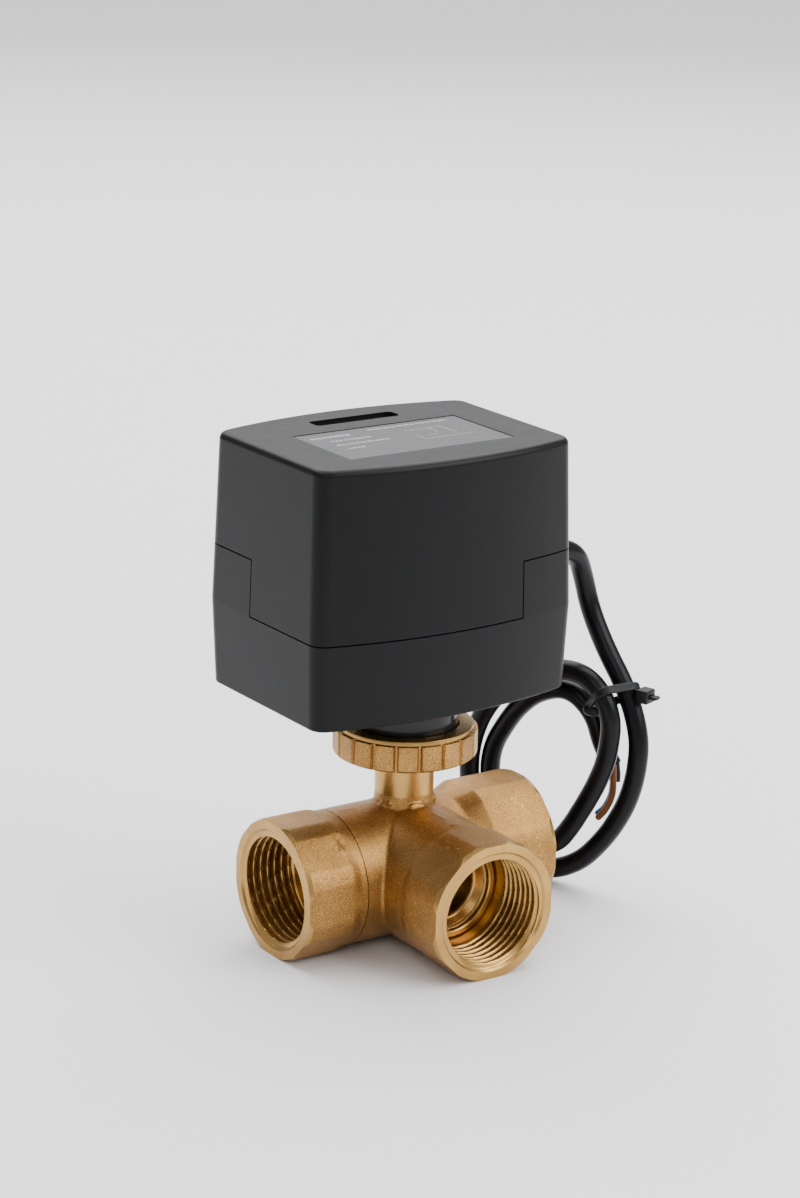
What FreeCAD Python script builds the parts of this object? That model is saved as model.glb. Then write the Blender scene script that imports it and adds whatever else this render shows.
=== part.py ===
import FreeCAD, Part
import math
import os

# Motorised three-way zone valve: a brass T-body ball valve with a detachable
# electric actuator.  Millimetres, +Z up along the stem, branch port towards -Y.
# Everything is modelled about the ball centre and moved at the end, so that the
# origin lies at the centre of the branch port's mouth.

V = FreeCAD.Vector
X = V(1, 0, 0)
Y = V(0, 1, 0)
Z = V(0, 0, 1)

# ---- driving dimensions: valve -------------------------------------------------
RUN_REACH = 43.5            # ball centre to the left run port's face
RIGHT_REACH = 40.2          # ball centre to the face of the body's own run port
RIGHT_OCTAGON = 20.0
WAIST_R = 17.6              # body between its middle and the right port's octagon
WAIST_START = 9.0
WAIST_END = 14.5
BRANCH_REACH = 45.2         # ball centre to the branch port face
PORT_FLATS = 39.0           # width across flats of the octagonal port ends
PORT_CORNER_R = 20.25       # turned radius that rounds the octagon's corners
PORT_BEVEL = (0.5, 1.5)     # turned bevel at a port's face, radially and along the axis
OCTAGON_LENGTH = 15.2       # length of each octagonal port end
BARREL_R = 19.3             # round barrel behind the port ends
THREAD_R = 16.62            # G1 female thread, major radius
THREAD_DEPTH = 18.3
ENTRY_R = 17.3              # lead-in chamfer of the thread
LEAD_IN = 0.45              # its depth
FLOW_R = 8.8                # flow bore behind the threads
SEAM_REACH = 24.0           # where the left end connector screws into the body
CONNECTOR_R = 16.5          # spigot of that connector
CONNECTOR_END = 16.7
RETAINER_R = 14.6
RETAINER_END = 14.8
CAVITY_R = 15.6
BALL_R = 15.0
BALL_BORE_R = 8.5
SEAT_R = 11.0
SEAT_FACE = 11.2            # nearest distance from seat ring to ball centre
SEAT_BACK = 16.2            # seat pocket floor
SEAT_GAP = 0.1              # between seat and ball
NECK_R = 8.25
NECK_FORGED_TOP = 22.6
NECK_TOP = 47.0
BOSS_R = 10.6
STEM_R = 4.5
STEM_BORE_R = 4.56
STEM_COLLAR_R = 6.5
STEM_COLLAR_Z = 15.2
STEM_COLLAR_TOP = 16.8
STEM_POCKET_TOP = 17.7
STEM_TOP = 56.0
STEM_SQUARE = 7.0
O_RING_Z = (29.0, 34.0)
O_RING_TUBE_R = 0.67
BLADE_T = 4.0
BLADE_W = 12.0
BLADE_Z = 12.4

# ---- driving dimensions: coupling ------------------------------------------------
NUT_BOTTOM = 33.5
NUT_WEB_TOP = 36.0
NUT_TOP = 42.4
NUT_LIP_Z = 41.6
NUT_R = 20.5
NUT_LIP_R = 19.0
NUT_BORE_R = 14.95
NUT_NOTCHES = 19
NOTCH_DEPTH = 0.9
NOTCH_SPREAD = (1.6, 3.4)   # half-angles of a notch at its floor and its mouth, degrees
SPIGOT_R = 14.85            # M30 x 1.5 spigot under the actuator
SPIGOT_BOTTOM = 38.6
SPIGOT_SEAT_R = 13.6        # locating rim pressed into the housing's floor
SPIGOT_TUBE_R = 9.2         # tube that guides the output shaft
SPIGOT_TUBE_TOP = 58.9
SLIP_WASHER_T = 0.77
RETAINING_RING_Z = 36.86
RETAINING_RING_T = 1.2
RETAINING_GROOVE_R = 7.4
RETAINING_RING_R = 10.3

# ---- driving dimensions: actuator housing ----------------------------------------
CASE_X = -5.93              # housing centre, off the stem axis
CASE_HALF_LENGTH = 41.0
CASE_HALF_WIDTH = 26.5
CASE_BULGE = 6.2            # how far the long sides bow out
CASE_CORNER_R = 4.7
CASE_BOTTOM = 54.4
CASE_PARTING = 78.8
CASE_STEP = 94.8            # parting height at the two raised corners
CASE_TOP = 126.1
GROW_BOTTOM = 0.5           # draft: how far the outline grows beyond the top's
GROW_PARTING = 1.34
WALL = 2.5
REVEAL = 0.4                # shadow gap between the two shells
REVEAL_FLOOR = -0.2         # outline, against the top's, that the gap is cut back to
TOP_EDGE_R = 2.0
BOTTOM_EDGE_R = 0.8
STEP_FRONT_X = 15.7         # front-right raised corner starts here
STEP_FRONT_Y = 9.0
STEP_BACK_X = -27.6         # back-left raised corner starts here
STEP_BACK_Y = 5.5
POST_DX = 34.8
POST_Y = 20.2
POST_R = 4.0
SLOT_BOX = (-19.7, 17.2, 7.8, 22.8)      # x0, y0, x1, y1 of the top window
LABEL_BOX = (-32.5, -19.0, 21.0, 10.4)   # x0, y0, x1, y1 of the label recess
LABEL_DEPTH = 0.6

# ---- driving dimensions: gear train ------------------------------------------------
PRESSURE_ANGLE = math.radians(25)
ADDENDUM = 0.85
DEDENDUM = 1.15
BACKLASH = 0.16
OUTPUT_TEETH = 36
IDLER_PINION_TEETH = 12
OUTPUT_MODULE = 1.0
IDLER_TEETH = 28
MOTOR_PINION_TEETH = 12
MOTOR_MODULE = 0.8
MOTOR_X = -25.0
LOWER_PLATE_Z = 60.0
UPPER_PLATE_Z = 71.5
PLATE_T = 1.5
OUTPUT_GEAR_Z = (62.5, 66.5)
IDLER_PINION_Z = (62.2, 67.2)
IDLER_GEAR_Z = (67.2, 70.2)
MOTOR_PINION_Z = (67.3, 70.3)
RUN_CLEARANCE = 0.06
FIT = 0.02                  # radial play of parts pressed on a shaft
GEARHEAD_R = 18.0
MOTOR_CAN_R = 16.5
GEARHEAD_TOP = 92.0
MOTOR_TOP = 116.0
PILLARS = ((-33.5, -21.0), (-33.5, 21.0), (19.0, -19.0), (19.0, 19.0))
PILLAR_R = 2.5
SHAFT_R = 6.5
SHAFT_HUB_R = 5.0
SHAFT_UPPER_R = 4.0
SHAFT_TIP_R = 3.0
DISC_Z = 120.4
DISC_R = 27.0
CAM_Z = (77.0, 85.0)
CAM_T = 4.0
CAM_LOBE_R = 11.9
CAM_LOBE_ANGLE = (20.0, -70.0)
SWITCH_Z = (75.8, 83.8)
SWITCH_T = 6.4
SWITCH_X = (14.5, 24.7)
SWITCH_HALF_LENGTH = 10.0
SWITCH_SCREW = (20.0, 4.75)
LEVER_WIDTH = 3.8
LEVER_HINGE_Y = -8.2
LEVER_REST_ANGLE = 4.5      # degrees off the switch's face when released
BOARD_Z = 95.0
BOARD_T = 1.6

# ---- driving dimensions: cable -----------------------------------------------------
CABLE_R = 3.0
CABLE_Z = 86.0
GLAND_R = 6.5
LEAD_ROUTE = (
    (32.0, 0.0, 86.0),
    (51.4, 0.0, 86.0),
    (60.6, -0.4, 80.6),
    (66.0, -1.8, 71.4),
    (67.6, -7.6, 54.0),
    (69.0, -15.6, 40.0),
    (68.7, -18.2, 27.0),
)
COIL_CENTRE = V(56.5, 5.5, 14.8)
COIL_TURN = 24.9            # how far the coil's plane is turned from the YZ plane, degrees
COIL_OUTER = (29.5, 34.3)   # half-width and half-height of the coil's outside
COIL_INNER = (15.5, 22.0)
COIL_THICKNESS = 11.0
TIE_LEFT = V(59.5, -9.0, 39.8)
TIE_RIGHT = V(68.3, -13.6, 43.0)
CORE_R = 0.95


# ---- small helpers ---------------------------------------------------------------
def cyl(radius, low, high, axis=Z, centre=(0, 0)):
    """Cylinder between two stations of one axis; centre is only used along Z."""
    base = axis * low
    if axis == Z:
        base = V(centre[0], centre[1], low)
    return Part.makeCylinder(radius, high - low, base, axis)


def ring(outer, inner, low, high, axis=Z, centre=(0, 0)):
    return cyl(outer, low, high, axis, centre).cut(cyl(inner, low - 1, high + 1, axis, centre))


def box(x0, y0, z0, x1, y1, z1):
    return Part.makeBox(x1 - x0, y1 - y0, z1 - z0, V(x0, y0, z0))


def cone(r_low, r_high, low, high, axis=Z):
    return Part.makeCone(r_low, r_high, high - low, axis * low, axis)


def fuse(shapes):
    """One solid from several touching or overlapping ones."""
    first = shapes[0]
    return first.fuse(list(shapes[1:])).removeSplitter()


def group(shapes):
    return Part.makeCompound(list(shapes))


def turned(shape, degrees, about=V(0, 0, 0)):
    copy = shape.copy()
    copy.rotate(about, Z, degrees)
    return copy


def rounded_plate(x0, y0, x1, y1, z0, z1, radius):
    block = box(x0, y0, z0, x1, y1, z1)
    upright = [e for e in block.Edges if abs(e.tangentAt(e.FirstParameter).z) > 0.9]
    return block.makeFillet(radius, upright)


# ---- valve -------------------------------------------------------------------------
def octagon_end(reach, axis, length=OCTAGON_LENGTH):
    """Octagonal port end, its corners turned round, flats facing up and down."""
    circum_r = PORT_FLATS / 2 / math.cos(math.radians(22.5))
    side = Z.cross(axis)
    corners = []
    for k in range(9):
        angle = math.radians(22.5 + 45 * k)
        corners.append(axis * (reach - length) + side * (circum_r * math.cos(angle))
                       + Z * (circum_r * math.sin(angle)))
    prism = Part.Face(Part.makePolygon(corners)).extrude(axis * length)
    turned_end = fuse([
        cyl(PORT_CORNER_R, reach - length, reach - PORT_BEVEL[1], axis),
        cone(PORT_CORNER_R, PORT_CORNER_R - PORT_BEVEL[0], reach - PORT_BEVEL[1], reach, axis),
    ])
    return prism.common(turned_end)


def right_octagon_end():
    """The body's own run port: a longer octagon that slopes down to a waist."""
    shoulder = RIGHT_REACH - RIGHT_OCTAGON
    clear_r = PORT_CORNER_R + 0.3
    envelope = fuse([
        cone(WAIST_R, clear_r, WAIST_END, shoulder, X),
        cyl(clear_r, shoulder, RIGHT_REACH, X),
    ])
    return octagon_end(RIGHT_REACH, X, RIGHT_REACH - WAIST_END).common(envelope)


def threaded_mouth(reach, axis):
    """Bore of the thread with its lead-in chamfer, as a tool to cut with."""
    widest = THREAD_R + (ENTRY_R - THREAD_R) * (LEAD_IN + 1.0) / LEAD_IN
    return cyl(THREAD_R, reach - THREAD_DEPTH, reach + 1, axis).fuse(
        cone(THREAD_R, widest, reach - LEAD_IN, reach + 1.0, axis))


def valve_body():
    outside = fuse([
        cyl(BARREL_R, -SEAM_REACH, WAIST_START, X),
        cyl(WAIST_R, 0, WAIST_END + 0.1, X),
        cyl(BARREL_R, 0, BRANCH_REACH - OCTAGON_LENGTH + 0.1, -Y),
        right_octagon_end(),
        octagon_end(BRANCH_REACH, -Y),
        cone(BOSS_R, NECK_R + 0.25, 14.0, NECK_FORGED_TOP),
        cyl(NECK_R, NECK_FORGED_TOP - 0.5, NECK_TOP),
    ])
    inside = [
        cyl(CONNECTOR_R, -SEAM_REACH - 1, -CONNECTOR_END, X),
        cyl(CAVITY_R, -SEAM_REACH, 15.2, X),
        cyl(SEAT_R + 0.05, 0, SEAT_BACK, X),
        cyl(FLOW_R, 0, RIGHT_REACH, X),
        threaded_mouth(RIGHT_REACH, X),
        cyl(RETAINER_R, 8.0, BRANCH_REACH - THREAD_DEPTH + 0.1, -Y),
        threaded_mouth(BRANCH_REACH, -Y),
        cyl(STEM_BORE_R, 10.0, NECK_TOP + 1),
        cyl(STEM_COLLAR_R + 0.1, 10.0, STEM_POCKET_TOP),
        ring(NECK_R + 2, RETAINING_GROOVE_R, RETAINING_RING_Z - 0.06,
             RETAINING_RING_Z + RETAINING_RING_T + 0.06),
    ]
    return outside.cut(fuse(inside))


def run_port_connector():
    """Left end piece: port end outside, spigot inside the body, seat pocket."""
    outside = fuse([
        octagon_end(RUN_REACH, -X),
        cyl(BARREL_R, SEAM_REACH + 0.05, RUN_REACH - OCTAGON_LENGTH + 0.1, -X),
        cyl(CONNECTOR_R - 0.02, CONNECTOR_END, SEAM_REACH + 0.1, -X),
    ])
    inside = fuse([
        threaded_mouth(RUN_REACH, -X),
        cyl(FLOW_R, 0, RUN_REACH, -X),
        cyl(SEAT_R + 0.05, 0, CONNECTOR_END + 1.3, -X),
    ])
    return outside.cut(inside)


def branch_seat_retainer():
    """Screwed ring with stepped bore that holds the branch seat."""
    mouth = BRANCH_REACH - THREAD_DEPTH
    outside = cyl(RETAINER_R - 0.02, RETAINER_END, mouth - 1.6, -Y)
    inside = fuse([
        cyl(FLOW_R + 0.4, 0, mouth, -Y),
        cyl(SEAT_R + 0.05, 0, SEAT_BACK, -Y),
        cyl(12.4, mouth - 3.2, mouth, -Y),
        cone(FLOW_R + 0.4, 11.2, mouth - 5.0, mouth - 3.1, -Y),
    ])
    return outside.cut(inside)


def seat(axis, back):
    """PTFE ring with its inner edge cut to the ball."""
    blank = ring(SEAT_R, FLOW_R, SEAT_FACE, back, axis)
    return blank.cut(Part.makeSphere(BALL_R + SEAT_GAP))


def ball():
    sphere = Part.makeSphere(BALL_R)
    elbow = fuse([
        cyl(BALL_BORE_R, 0, BALL_R + 2, -X),
        cyl(BALL_BORE_R, 0, BALL_R + 2, -Y),
        Part.makeSphere(BALL_BORE_R),
    ])
    slot = box(-BLADE_T / 2 - 0.05, -BALL_R, BLADE_Z - 0.2, BLADE_T / 2 + 0.05, BALL_R, BALL_R + 1)
    return sphere.cut(elbow).cut(slot)


def stem():
    half_blade = BLADE_T / 2
    half_square = STEM_SQUARE / 2
    blade = box(-half_blade, -BLADE_W / 2, BLADE_Z, half_blade, BLADE_W / 2, STEM_COLLAR_Z + 0.1)
    blade = blade.common(cyl(STEM_COLLAR_R, BLADE_Z, STEM_COLLAR_Z + 0.1))
    square = box(-half_square, -half_square, NECK_TOP + 0.4, half_square, half_square, STEM_TOP)
    square = square.common(fuse([
        cyl(STEM_R, NECK_TOP, STEM_TOP - 1),
        cone(STEM_R, STEM_R - 1, STEM_TOP - 1, STEM_TOP),
    ]))
    spindle = fuse([
        blade,
        cyl(STEM_COLLAR_R, STEM_COLLAR_Z, STEM_COLLAR_TOP),
        cyl(STEM_R, STEM_COLLAR_TOP - 0.1, NECK_TOP + 0.5),
        square,
    ])
    for z in O_RING_Z:
        groove = ring(STEM_R + 1, STEM_R - 1.3, z - 0.95, z + 0.95)
        spindle = spindle.cut(groove)
    return spindle


def stem_o_rings():
    centre_r = STEM_R + 0.04 - O_RING_TUBE_R
    return group([Part.makeTorus(centre_r, O_RING_TUBE_R, V(0, 0, z)) for z in O_RING_Z])


def neck_retaining_ring():
    """Open snap ring in the neck's groove; it carries the coupling nut."""
    top = RETAINING_RING_Z + RETAINING_RING_T
    whole = ring(RETAINING_RING_R, RETAINING_GROOVE_R + 0.02, RETAINING_RING_Z, top)
    return whole.cut(box(-1.6, 0, RETAINING_RING_Z - 1, 1.6, 20, top + 1))


def nut_slip_washer():
    low = NUT_WEB_TOP + 0.03
    return ring(13.0, NECK_R + 0.08, low, low + SLIP_WASHER_T)


def coupling_nut():
    """Union nut with notched rim, web at the bottom, M30 bore above."""
    rim = fuse([
        cone(NUT_R - 0.8, NUT_R, NUT_BOTTOM, NUT_BOTTOM + 0.8),
        cyl(NUT_R, NUT_BOTTOM + 0.7, NUT_LIP_Z),
        cone(NUT_R, NUT_LIP_R, NUT_LIP_Z, NUT_TOP),
    ])
    bore = fuse([
        cyl(NUT_BORE_R, NUT_WEB_TOP, NUT_TOP + 1),
        cyl(NECK_R + 0.2, NUT_BOTTOM - 1, NUT_TOP),
    ])
    nut = rim.cut(bore)
    inner = NUT_R - NOTCH_DEPTH
    half_in = math.radians(NOTCH_SPREAD[0])
    half_out = math.radians(NOTCH_SPREAD[1])
    far = NUT_R + 1.0
    first = math.radians(-98.0)
    notches = []
    for k in range(NUT_NOTCHES):
        mid = first + 2 * math.pi * k / NUT_NOTCHES
        outline = [
            V(inner * math.cos(mid - half_in), inner * math.sin(mid - half_in), NUT_BOTTOM - 1),
            V(far * math.cos(mid - half_out), far * math.sin(mid - half_out), NUT_BOTTOM - 1),
            V(far * math.cos(mid + half_out), far * math.sin(mid + half_out), NUT_BOTTOM - 1),
            V(inner * math.cos(mid + half_in), inner * math.sin(mid + half_in), NUT_BOTTOM - 1),
        ]
        face = Part.Face(Part.makePolygon(outline + [outline[0]]))
        notches.append(face.extrude(Z * (NUT_TOP - NUT_BOTTOM + 2)))
    return nut.cut(notches)


# ---- actuator housing ------------------------------------------------------------------
def case_outline(grow, z):
    """Outline with flat ends and long sides bowed outwards."""
    half_l = CASE_HALF_LENGTH + grow
    half_w = CASE_HALF_WIDTH + grow
    crown = half_w + CASE_BULGE
    left = CASE_X - half_l
    right = CASE_X + half_l
    front = Part.Arc(V(left, -half_w, z), V(CASE_X, -crown, z), V(right, -half_w, z)).toShape()
    back = Part.Arc(V(right, half_w, z), V(CASE_X, crown, z), V(left, half_w, z)).toShape()
    right_end = Part.makeLine(V(right, -half_w, z), V(right, half_w, z))
    left_end = Part.makeLine(V(left, half_w, z), V(left, -half_w, z))
    return Part.Wire([front, right_end, back, left_end])


def case_block(z_low, z_high, grow_low, grow_high, corner_r):
    block = Part.makeLoft([case_outline(grow_low, z_low), case_outline(grow_high, z_high)], True, True)
    uprights = [e for e in block.Edges if abs(e.tangentAt(e.FirstParameter).z) > 0.9]
    return block.makeFillet(corner_r, uprights)


def edges_at(shape, z):
    found = []
    for edge in shape.Edges:
        bounds = edge.BoundBox
        if abs(bounds.ZMin - z) < 1e-4 and abs(bounds.ZMax - z) < 1e-4:
            found.append(edge)
    return found


def case_solid():
    lower = case_block(CASE_BOTTOM, CASE_PARTING, GROW_BOTTOM, GROW_PARTING, CASE_CORNER_R)
    lower = lower.makeFillet(BOTTOM_EDGE_R, edges_at(lower, CASE_BOTTOM))
    upper = case_block(CASE_PARTING, CASE_TOP, GROW_PARTING, 0, CASE_CORNER_R)
    upper = upper.makeFillet(TOP_EDGE_R, edges_at(upper, CASE_TOP))
    return lower.fuse(upper)


def case_cavity():
    inner_r = CASE_CORNER_R - WALL
    lower = case_block(CASE_BOTTOM + WALL, CASE_PARTING, GROW_BOTTOM - WALL, GROW_PARTING - WALL, inner_r)
    upper = case_block(CASE_PARTING, CASE_TOP - WALL, GROW_PARTING - WALL, -WALL, inner_r)
    return lower.fuse(upper)


def base_region(shrink):
    """Space on the base's side of the parting, drawn back by shrink."""
    far = 100
    main = box(-far, -far, 0, far, far, CASE_PARTING - shrink)
    top = CASE_STEP - shrink
    front = box(STEP_FRONT_X + shrink, -far, 0, far, STEP_FRONT_Y - shrink, top)
    back = box(-far, STEP_BACK_Y + shrink, 0, STEP_BACK_X - shrink, far, top)
    return main.fuse([front, back])


def post_places():
    return [(CASE_X + sx * POST_DX, sy * POST_Y) for sx in (-1, 1) for sy in (-1, 1)]


def case_walls(outside):
    """Both shells as one skin, with the screw posts that run through them."""
    skin = outside.cut(case_cavity())
    posts = [cyl(POST_R, CASE_BOTTOM + 1, CASE_TOP - 1, Z, place) for place in post_places()]
    return skin.fuse(posts)


def base_shell(outside, walls):
    shell = walls.common(base_region(0))
    rim = outside.cut(case_block(CASE_BOTTOM - 5, CASE_TOP + 5, REVEAL_FLOOR, REVEAL_FLOOR, CASE_CORNER_R))
    shell = shell.cut(rim.common(base_region(0).cut(base_region(REVEAL))))
    shell = shell.fuse([cyl(3.6, CASE_BOTTOM + 1, LOWER_PLATE_Z, Z, place) for place in PILLARS])
    cores = [cyl(SPIGOT_SEAT_R + FIT, CASE_BOTTOM - 1, CASE_BOTTOM + WALL + 1)]
    for place in post_places():
        cores.append(cyl(3.3, CASE_BOTTOM - 1, CASE_BOTTOM + 3.2, Z, place))
        cores.append(cyl(1.7, CASE_BOTTOM, CASE_STEP + 1, Z, place))
    for place in PILLARS:
        cores.append(cyl(1.25, CASE_BOTTOM + 3.0, LOWER_PLATE_Z + 1, Z, place))
    cores.append(Part.makeCylinder(5.0, 20, V(25, 0, CABLE_Z), X))
    return shell.cut(fuse(cores))


def mounting_spigot():
    """Threaded spigot pressed into the base, with the tube that guides the output shaft."""
    outside = fuse([
        cone(SPIGOT_R - 0.6, SPIGOT_R, SPIGOT_BOTTOM, SPIGOT_BOTTOM + 0.6),
        cyl(SPIGOT_R, SPIGOT_BOTTOM + 0.6, CASE_BOTTOM),
        cyl(SPIGOT_SEAT_R, CASE_BOTTOM - 0.1, CASE_BOTTOM + WALL),
        cyl(SPIGOT_TUBE_R, CASE_BOTTOM, SPIGOT_TUBE_TOP),
    ])
    hollow = fuse([
        ring(12.4, SPIGOT_TUBE_R, SPIGOT_BOTTOM + 3.2, CASE_BOTTOM + WALL + 0.5),
        cyl(NECK_R + 0.1, SPIGOT_BOTTOM - 1, NECK_TOP),
        cyl(SHAFT_R + RUN_CLEARANCE, NECK_TOP - 0.5, SPIGOT_TUBE_TOP + 1),
    ])
    return outside.cut(hollow)


def cover_shell(walls):
    shell = walls.cut(base_region(0))
    x0, y0, x1, y1 = SLOT_BOX
    label = LABEL_BOX
    tools = [
        rounded_plate(x0, y0, x1, y1, CASE_TOP - 5, CASE_TOP + 1, 1.5),
        rounded_plate(label[0], label[1], label[2], label[3], CASE_TOP - LABEL_DEPTH, CASE_TOP + 1, 0.6),
    ]
    for place in post_places():
        tools.append(cyl(1.5, CASE_PARTING - 1, 110, Z, place))
    return shell.cut(tools)


def label_plate():
    x0, y0, x1, y1 = LABEL_BOX
    return rounded_plate(x0 + 0.2, y0 + 0.2, x1 - 0.2, y1 - 0.2,
                         CASE_TOP - LABEL_DEPTH, CASE_TOP - 0.15, 0.5)


def window_lens():
    """Smoked lens set in the top slot from below, a little under the surface."""
    x0, y0, x1, y1 = SLOT_BOX
    under = CASE_TOP - WALL
    plug = rounded_plate(x0 + 0.1, y0 + 0.1, x1 - 0.1, y1 - 0.1, under - 0.5, CASE_TOP - 1.3, 1.4)
    flange = rounded_plate(x0 - 2, y0 - 2, x1 + 2, y1 + 2, under - 1.0, under, 1.5)
    return plug.fuse(flange).removeSplitter()


def case_screws():
    screws = []
    for place in post_places():
        seat_z = CASE_BOTTOM + 3.2
        head = cyl(2.9, seat_z - 2.0, seat_z, Z, place)
        recess = cyl(1.1, seat_z - 3.0, seat_z - 0.8, Z, place)
        shank = cyl(1.45, seat_z - 0.1, 108, Z, place)
        screws.append(head.cut(recess).fuse(shank).removeSplitter())
    return group(screws)


# ---- gear train --------------------------------------------------------------------------
def involute(angle):
    return math.tan(angle) - angle


def gear_blank(teeth, module, z_low, z_high, tooth_at, centre):
    """Spur gear with involute flanks and one tooth pointing at tooth_at degrees."""
    pitch_r = teeth * module / 2
    base_r = pitch_r * math.cos(PRESSURE_ANGLE)
    tip_r = pitch_r + ADDENDUM * module
    root_r = pitch_r - DEDENDUM * module
    start_r = max(base_r, root_r)
    half_pitch = math.pi / (2 * teeth) - BACKLASH / (2 * pitch_r)
    steps = 4
    flank = []
    for k in range(steps + 1):
        radius = start_r + (tip_r - start_r) * k / steps
        angle = half_pitch + involute(PRESSURE_ANGLE) - involute(math.acos(min(1, base_r / radius)))
        flank.append((radius, angle))
    if root_r < start_r:
        flank.insert(0, (root_r, flank[0][1]))
    points = []
    for tooth in range(teeth):
        mid = math.radians(tooth_at) + 2 * math.pi * tooth / teeth
        sides = [(r, mid - a) for r, a in flank] + [(r, mid + a) for r, a in reversed(flank)]
        for radius, angle in sides:
            points.append(V(centre[0] + radius * math.cos(angle), centre[1] + radius * math.sin(angle), z_low))
    points.append(points[0])
    return Part.Face(Part.makePolygon(points)).extrude(Z * (z_high - z_low))


def idler_centre():
    """Where the idler's two centre distances meet, on the front side."""
    to_output = (OUTPUT_TEETH + IDLER_PINION_TEETH) * OUTPUT_MODULE / 2
    to_motor = (IDLER_TEETH + MOTOR_PINION_TEETH) * MOTOR_MODULE / 2
    x = (to_motor ** 2 - to_output ** 2 - MOTOR_X ** 2) / (-2 * MOTOR_X)
    return (x, -math.sqrt(to_output ** 2 - x ** 2))


IDLER = idler_centre()
MOTOR = (MOTOR_X, 0.0)
OUTPUT_TO_IDLER = math.degrees(math.atan2(IDLER[1], IDLER[0]))
IDLER_TO_MOTOR = math.degrees(math.atan2(MOTOR[1] - IDLER[1], MOTOR[0] - IDLER[0]))


def output_gear():
    low, high = OUTPUT_GEAR_Z
    blank = gear_blank(OUTPUT_TEETH, OUTPUT_MODULE, low, high, OUTPUT_TO_IDLER, (0, 0))
    pockets = []
    for k in range(5):
        angle = math.radians(36 + 72 * k)
        pockets.append(cyl(3.0, low - 1, high + 1, Z, (11.6 * math.cos(angle), 11.6 * math.sin(angle))))
    return blank.cut([cyl(SHAFT_HUB_R + FIT, low - 1, high + 1)] + pockets)


def idler_gear():
    low, high = IDLER_PINION_Z
    pinion = gear_blank(IDLER_PINION_TEETH, OUTPUT_MODULE, low, high,
                        OUTPUT_TO_IDLER + 180 + 180 / IDLER_PINION_TEETH, IDLER)
    wheel = gear_blank(IDLER_TEETH, MOTOR_MODULE, IDLER_GEAR_Z[0], IDLER_GEAR_Z[1], IDLER_TO_MOTOR, IDLER)
    hub = cyl(3.0, low - 0.5, IDLER_GEAR_Z[1] + 0.9, Z, IDLER)
    bore = cyl(1.5 + RUN_CLEARANCE, low - 2, IDLER_GEAR_Z[1] + 2, Z, IDLER)
    return fuse([pinion, wheel, hub]).cut(bore)


def motor_pinion():
    low, high = MOTOR_PINION_Z
    blank = gear_blank(MOTOR_PINION_TEETH, MOTOR_MODULE, low, high,
                       IDLER_TO_MOTOR + 180 + 180 / MOTOR_PINION_TEETH, MOTOR)
    return blank.cut(cyl(1.5, low - 1, high + 1, Z, MOTOR))


def motor_shaft():
    return cyl(1.5, MOTOR_PINION_Z[0] - 0.6, UPPER_PLATE_Z + 11, Z, MOTOR)


def idler_axle():
    return cyl(1.5, LOWER_PLATE_Z - 0.4, UPPER_PLATE_Z + PLATE_T - 0.1, Z, IDLER)


def gear_plate(z, holes):
    """Steel plate with ears at both ends; holes are (radius, centre) pairs."""
    outline = fuse([
        box(-36.0, -24.0, z, 24.0, 24.0, z + PLATE_T),
        box(-42.0, -14.0, z, -35.0, 14.0, z + PLATE_T),
        box(23.0, -15.5, z, 29.6, 15.5, z + PLATE_T),
    ])
    tools = [cyl(radius, z - 1, z + PLATE_T + 1, Z, centre) for radius, centre in holes]
    return outline.cut(tools)


def lower_gear_plate():
    holes = [(8.6, (0, 0)), (1.5, IDLER)] + [(1.4, place) for place in PILLARS]
    return gear_plate(LOWER_PLATE_Z, holes)


def motor_screw_places():
    return [(MOTOR_X, 14.0), (MOTOR_X - 14.0, 0.0)]


def upper_gear_plate():
    holes = [(5.5, (0, 0)), (1.5, IDLER), (4.6, MOTOR)]
    holes += [(1.4, place) for place in PILLARS]
    holes += [(1.6, place) for place in motor_screw_places()]
    holes += [(0.9, (SWITCH_SCREW[0], side * SWITCH_SCREW[1])) for side in (-1, 1)]
    holes += [(1.2, (26.5, side * 13.0)) for side in (-1, 1)]
    return gear_plate(UPPER_PLATE_Z, holes)


def shaft_bush():
    """Flanged brass bush in the upper plate, around the output shaft."""
    top = UPPER_PLATE_Z + PLATE_T
    outside = fuse([cyl(5.5, UPPER_PLATE_Z, top), cyl(6.3, top, top + 0.8)])
    return outside.cut(cyl(SHAFT_UPPER_R + RUN_CLEARANCE, UPPER_PLATE_Z - 1, top + 2))


def gear_pillars():
    low = LOWER_PLATE_Z + PLATE_T
    return group([ring(PILLAR_R, 1.35, low, UPPER_PLATE_Z, Z, place) for place in PILLARS])


def plate_screws():
    top = UPPER_PLATE_Z + PLATE_T
    screws = []
    for place in PILLARS:
        head = cyl(2.4, top, top + 1.7, Z, place).cut(cyl(0.9, top + 0.7, top + 3, Z, place))
        screws.append(head.fuse(cyl(1.2, CASE_BOTTOM + 3.4, top + 0.1, Z, place)).removeSplitter())
    return group(screws)


def gear_motor():
    """Geared synchronous motor: gearhead, motor can and end cap in one unit."""
    foot = UPPER_PLATE_Z + PLATE_T
    outside = fuse([
        cyl(4.5, UPPER_PLATE_Z + 0.1, foot + 0.5, Z, MOTOR),
        cyl(GEARHEAD_R, foot, GEARHEAD_TOP, Z, MOTOR),
        cyl(MOTOR_CAN_R, GEARHEAD_TOP - 0.5, MOTOR_TOP - 3, Z, MOTOR),
        cyl(MOTOR_CAN_R - 1.5, MOTOR_TOP - 3.5, MOTOR_TOP, Z, MOTOR),
        box(MOTOR_X - 4, -18.4, GEARHEAD_TOP + 4, MOTOR_X + 4, -10, GEARHEAD_TOP + 12),
    ])
    tools = [cyl(1.5 + RUN_CLEARANCE, UPPER_PLATE_Z - 1, UPPER_PLATE_Z + 11.3, Z, MOTOR)]
    tools += [cyl(1.25, foot - 1, foot + 4.5, Z, place) for place in motor_screw_places()]
    return outside.cut(tools)


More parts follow.
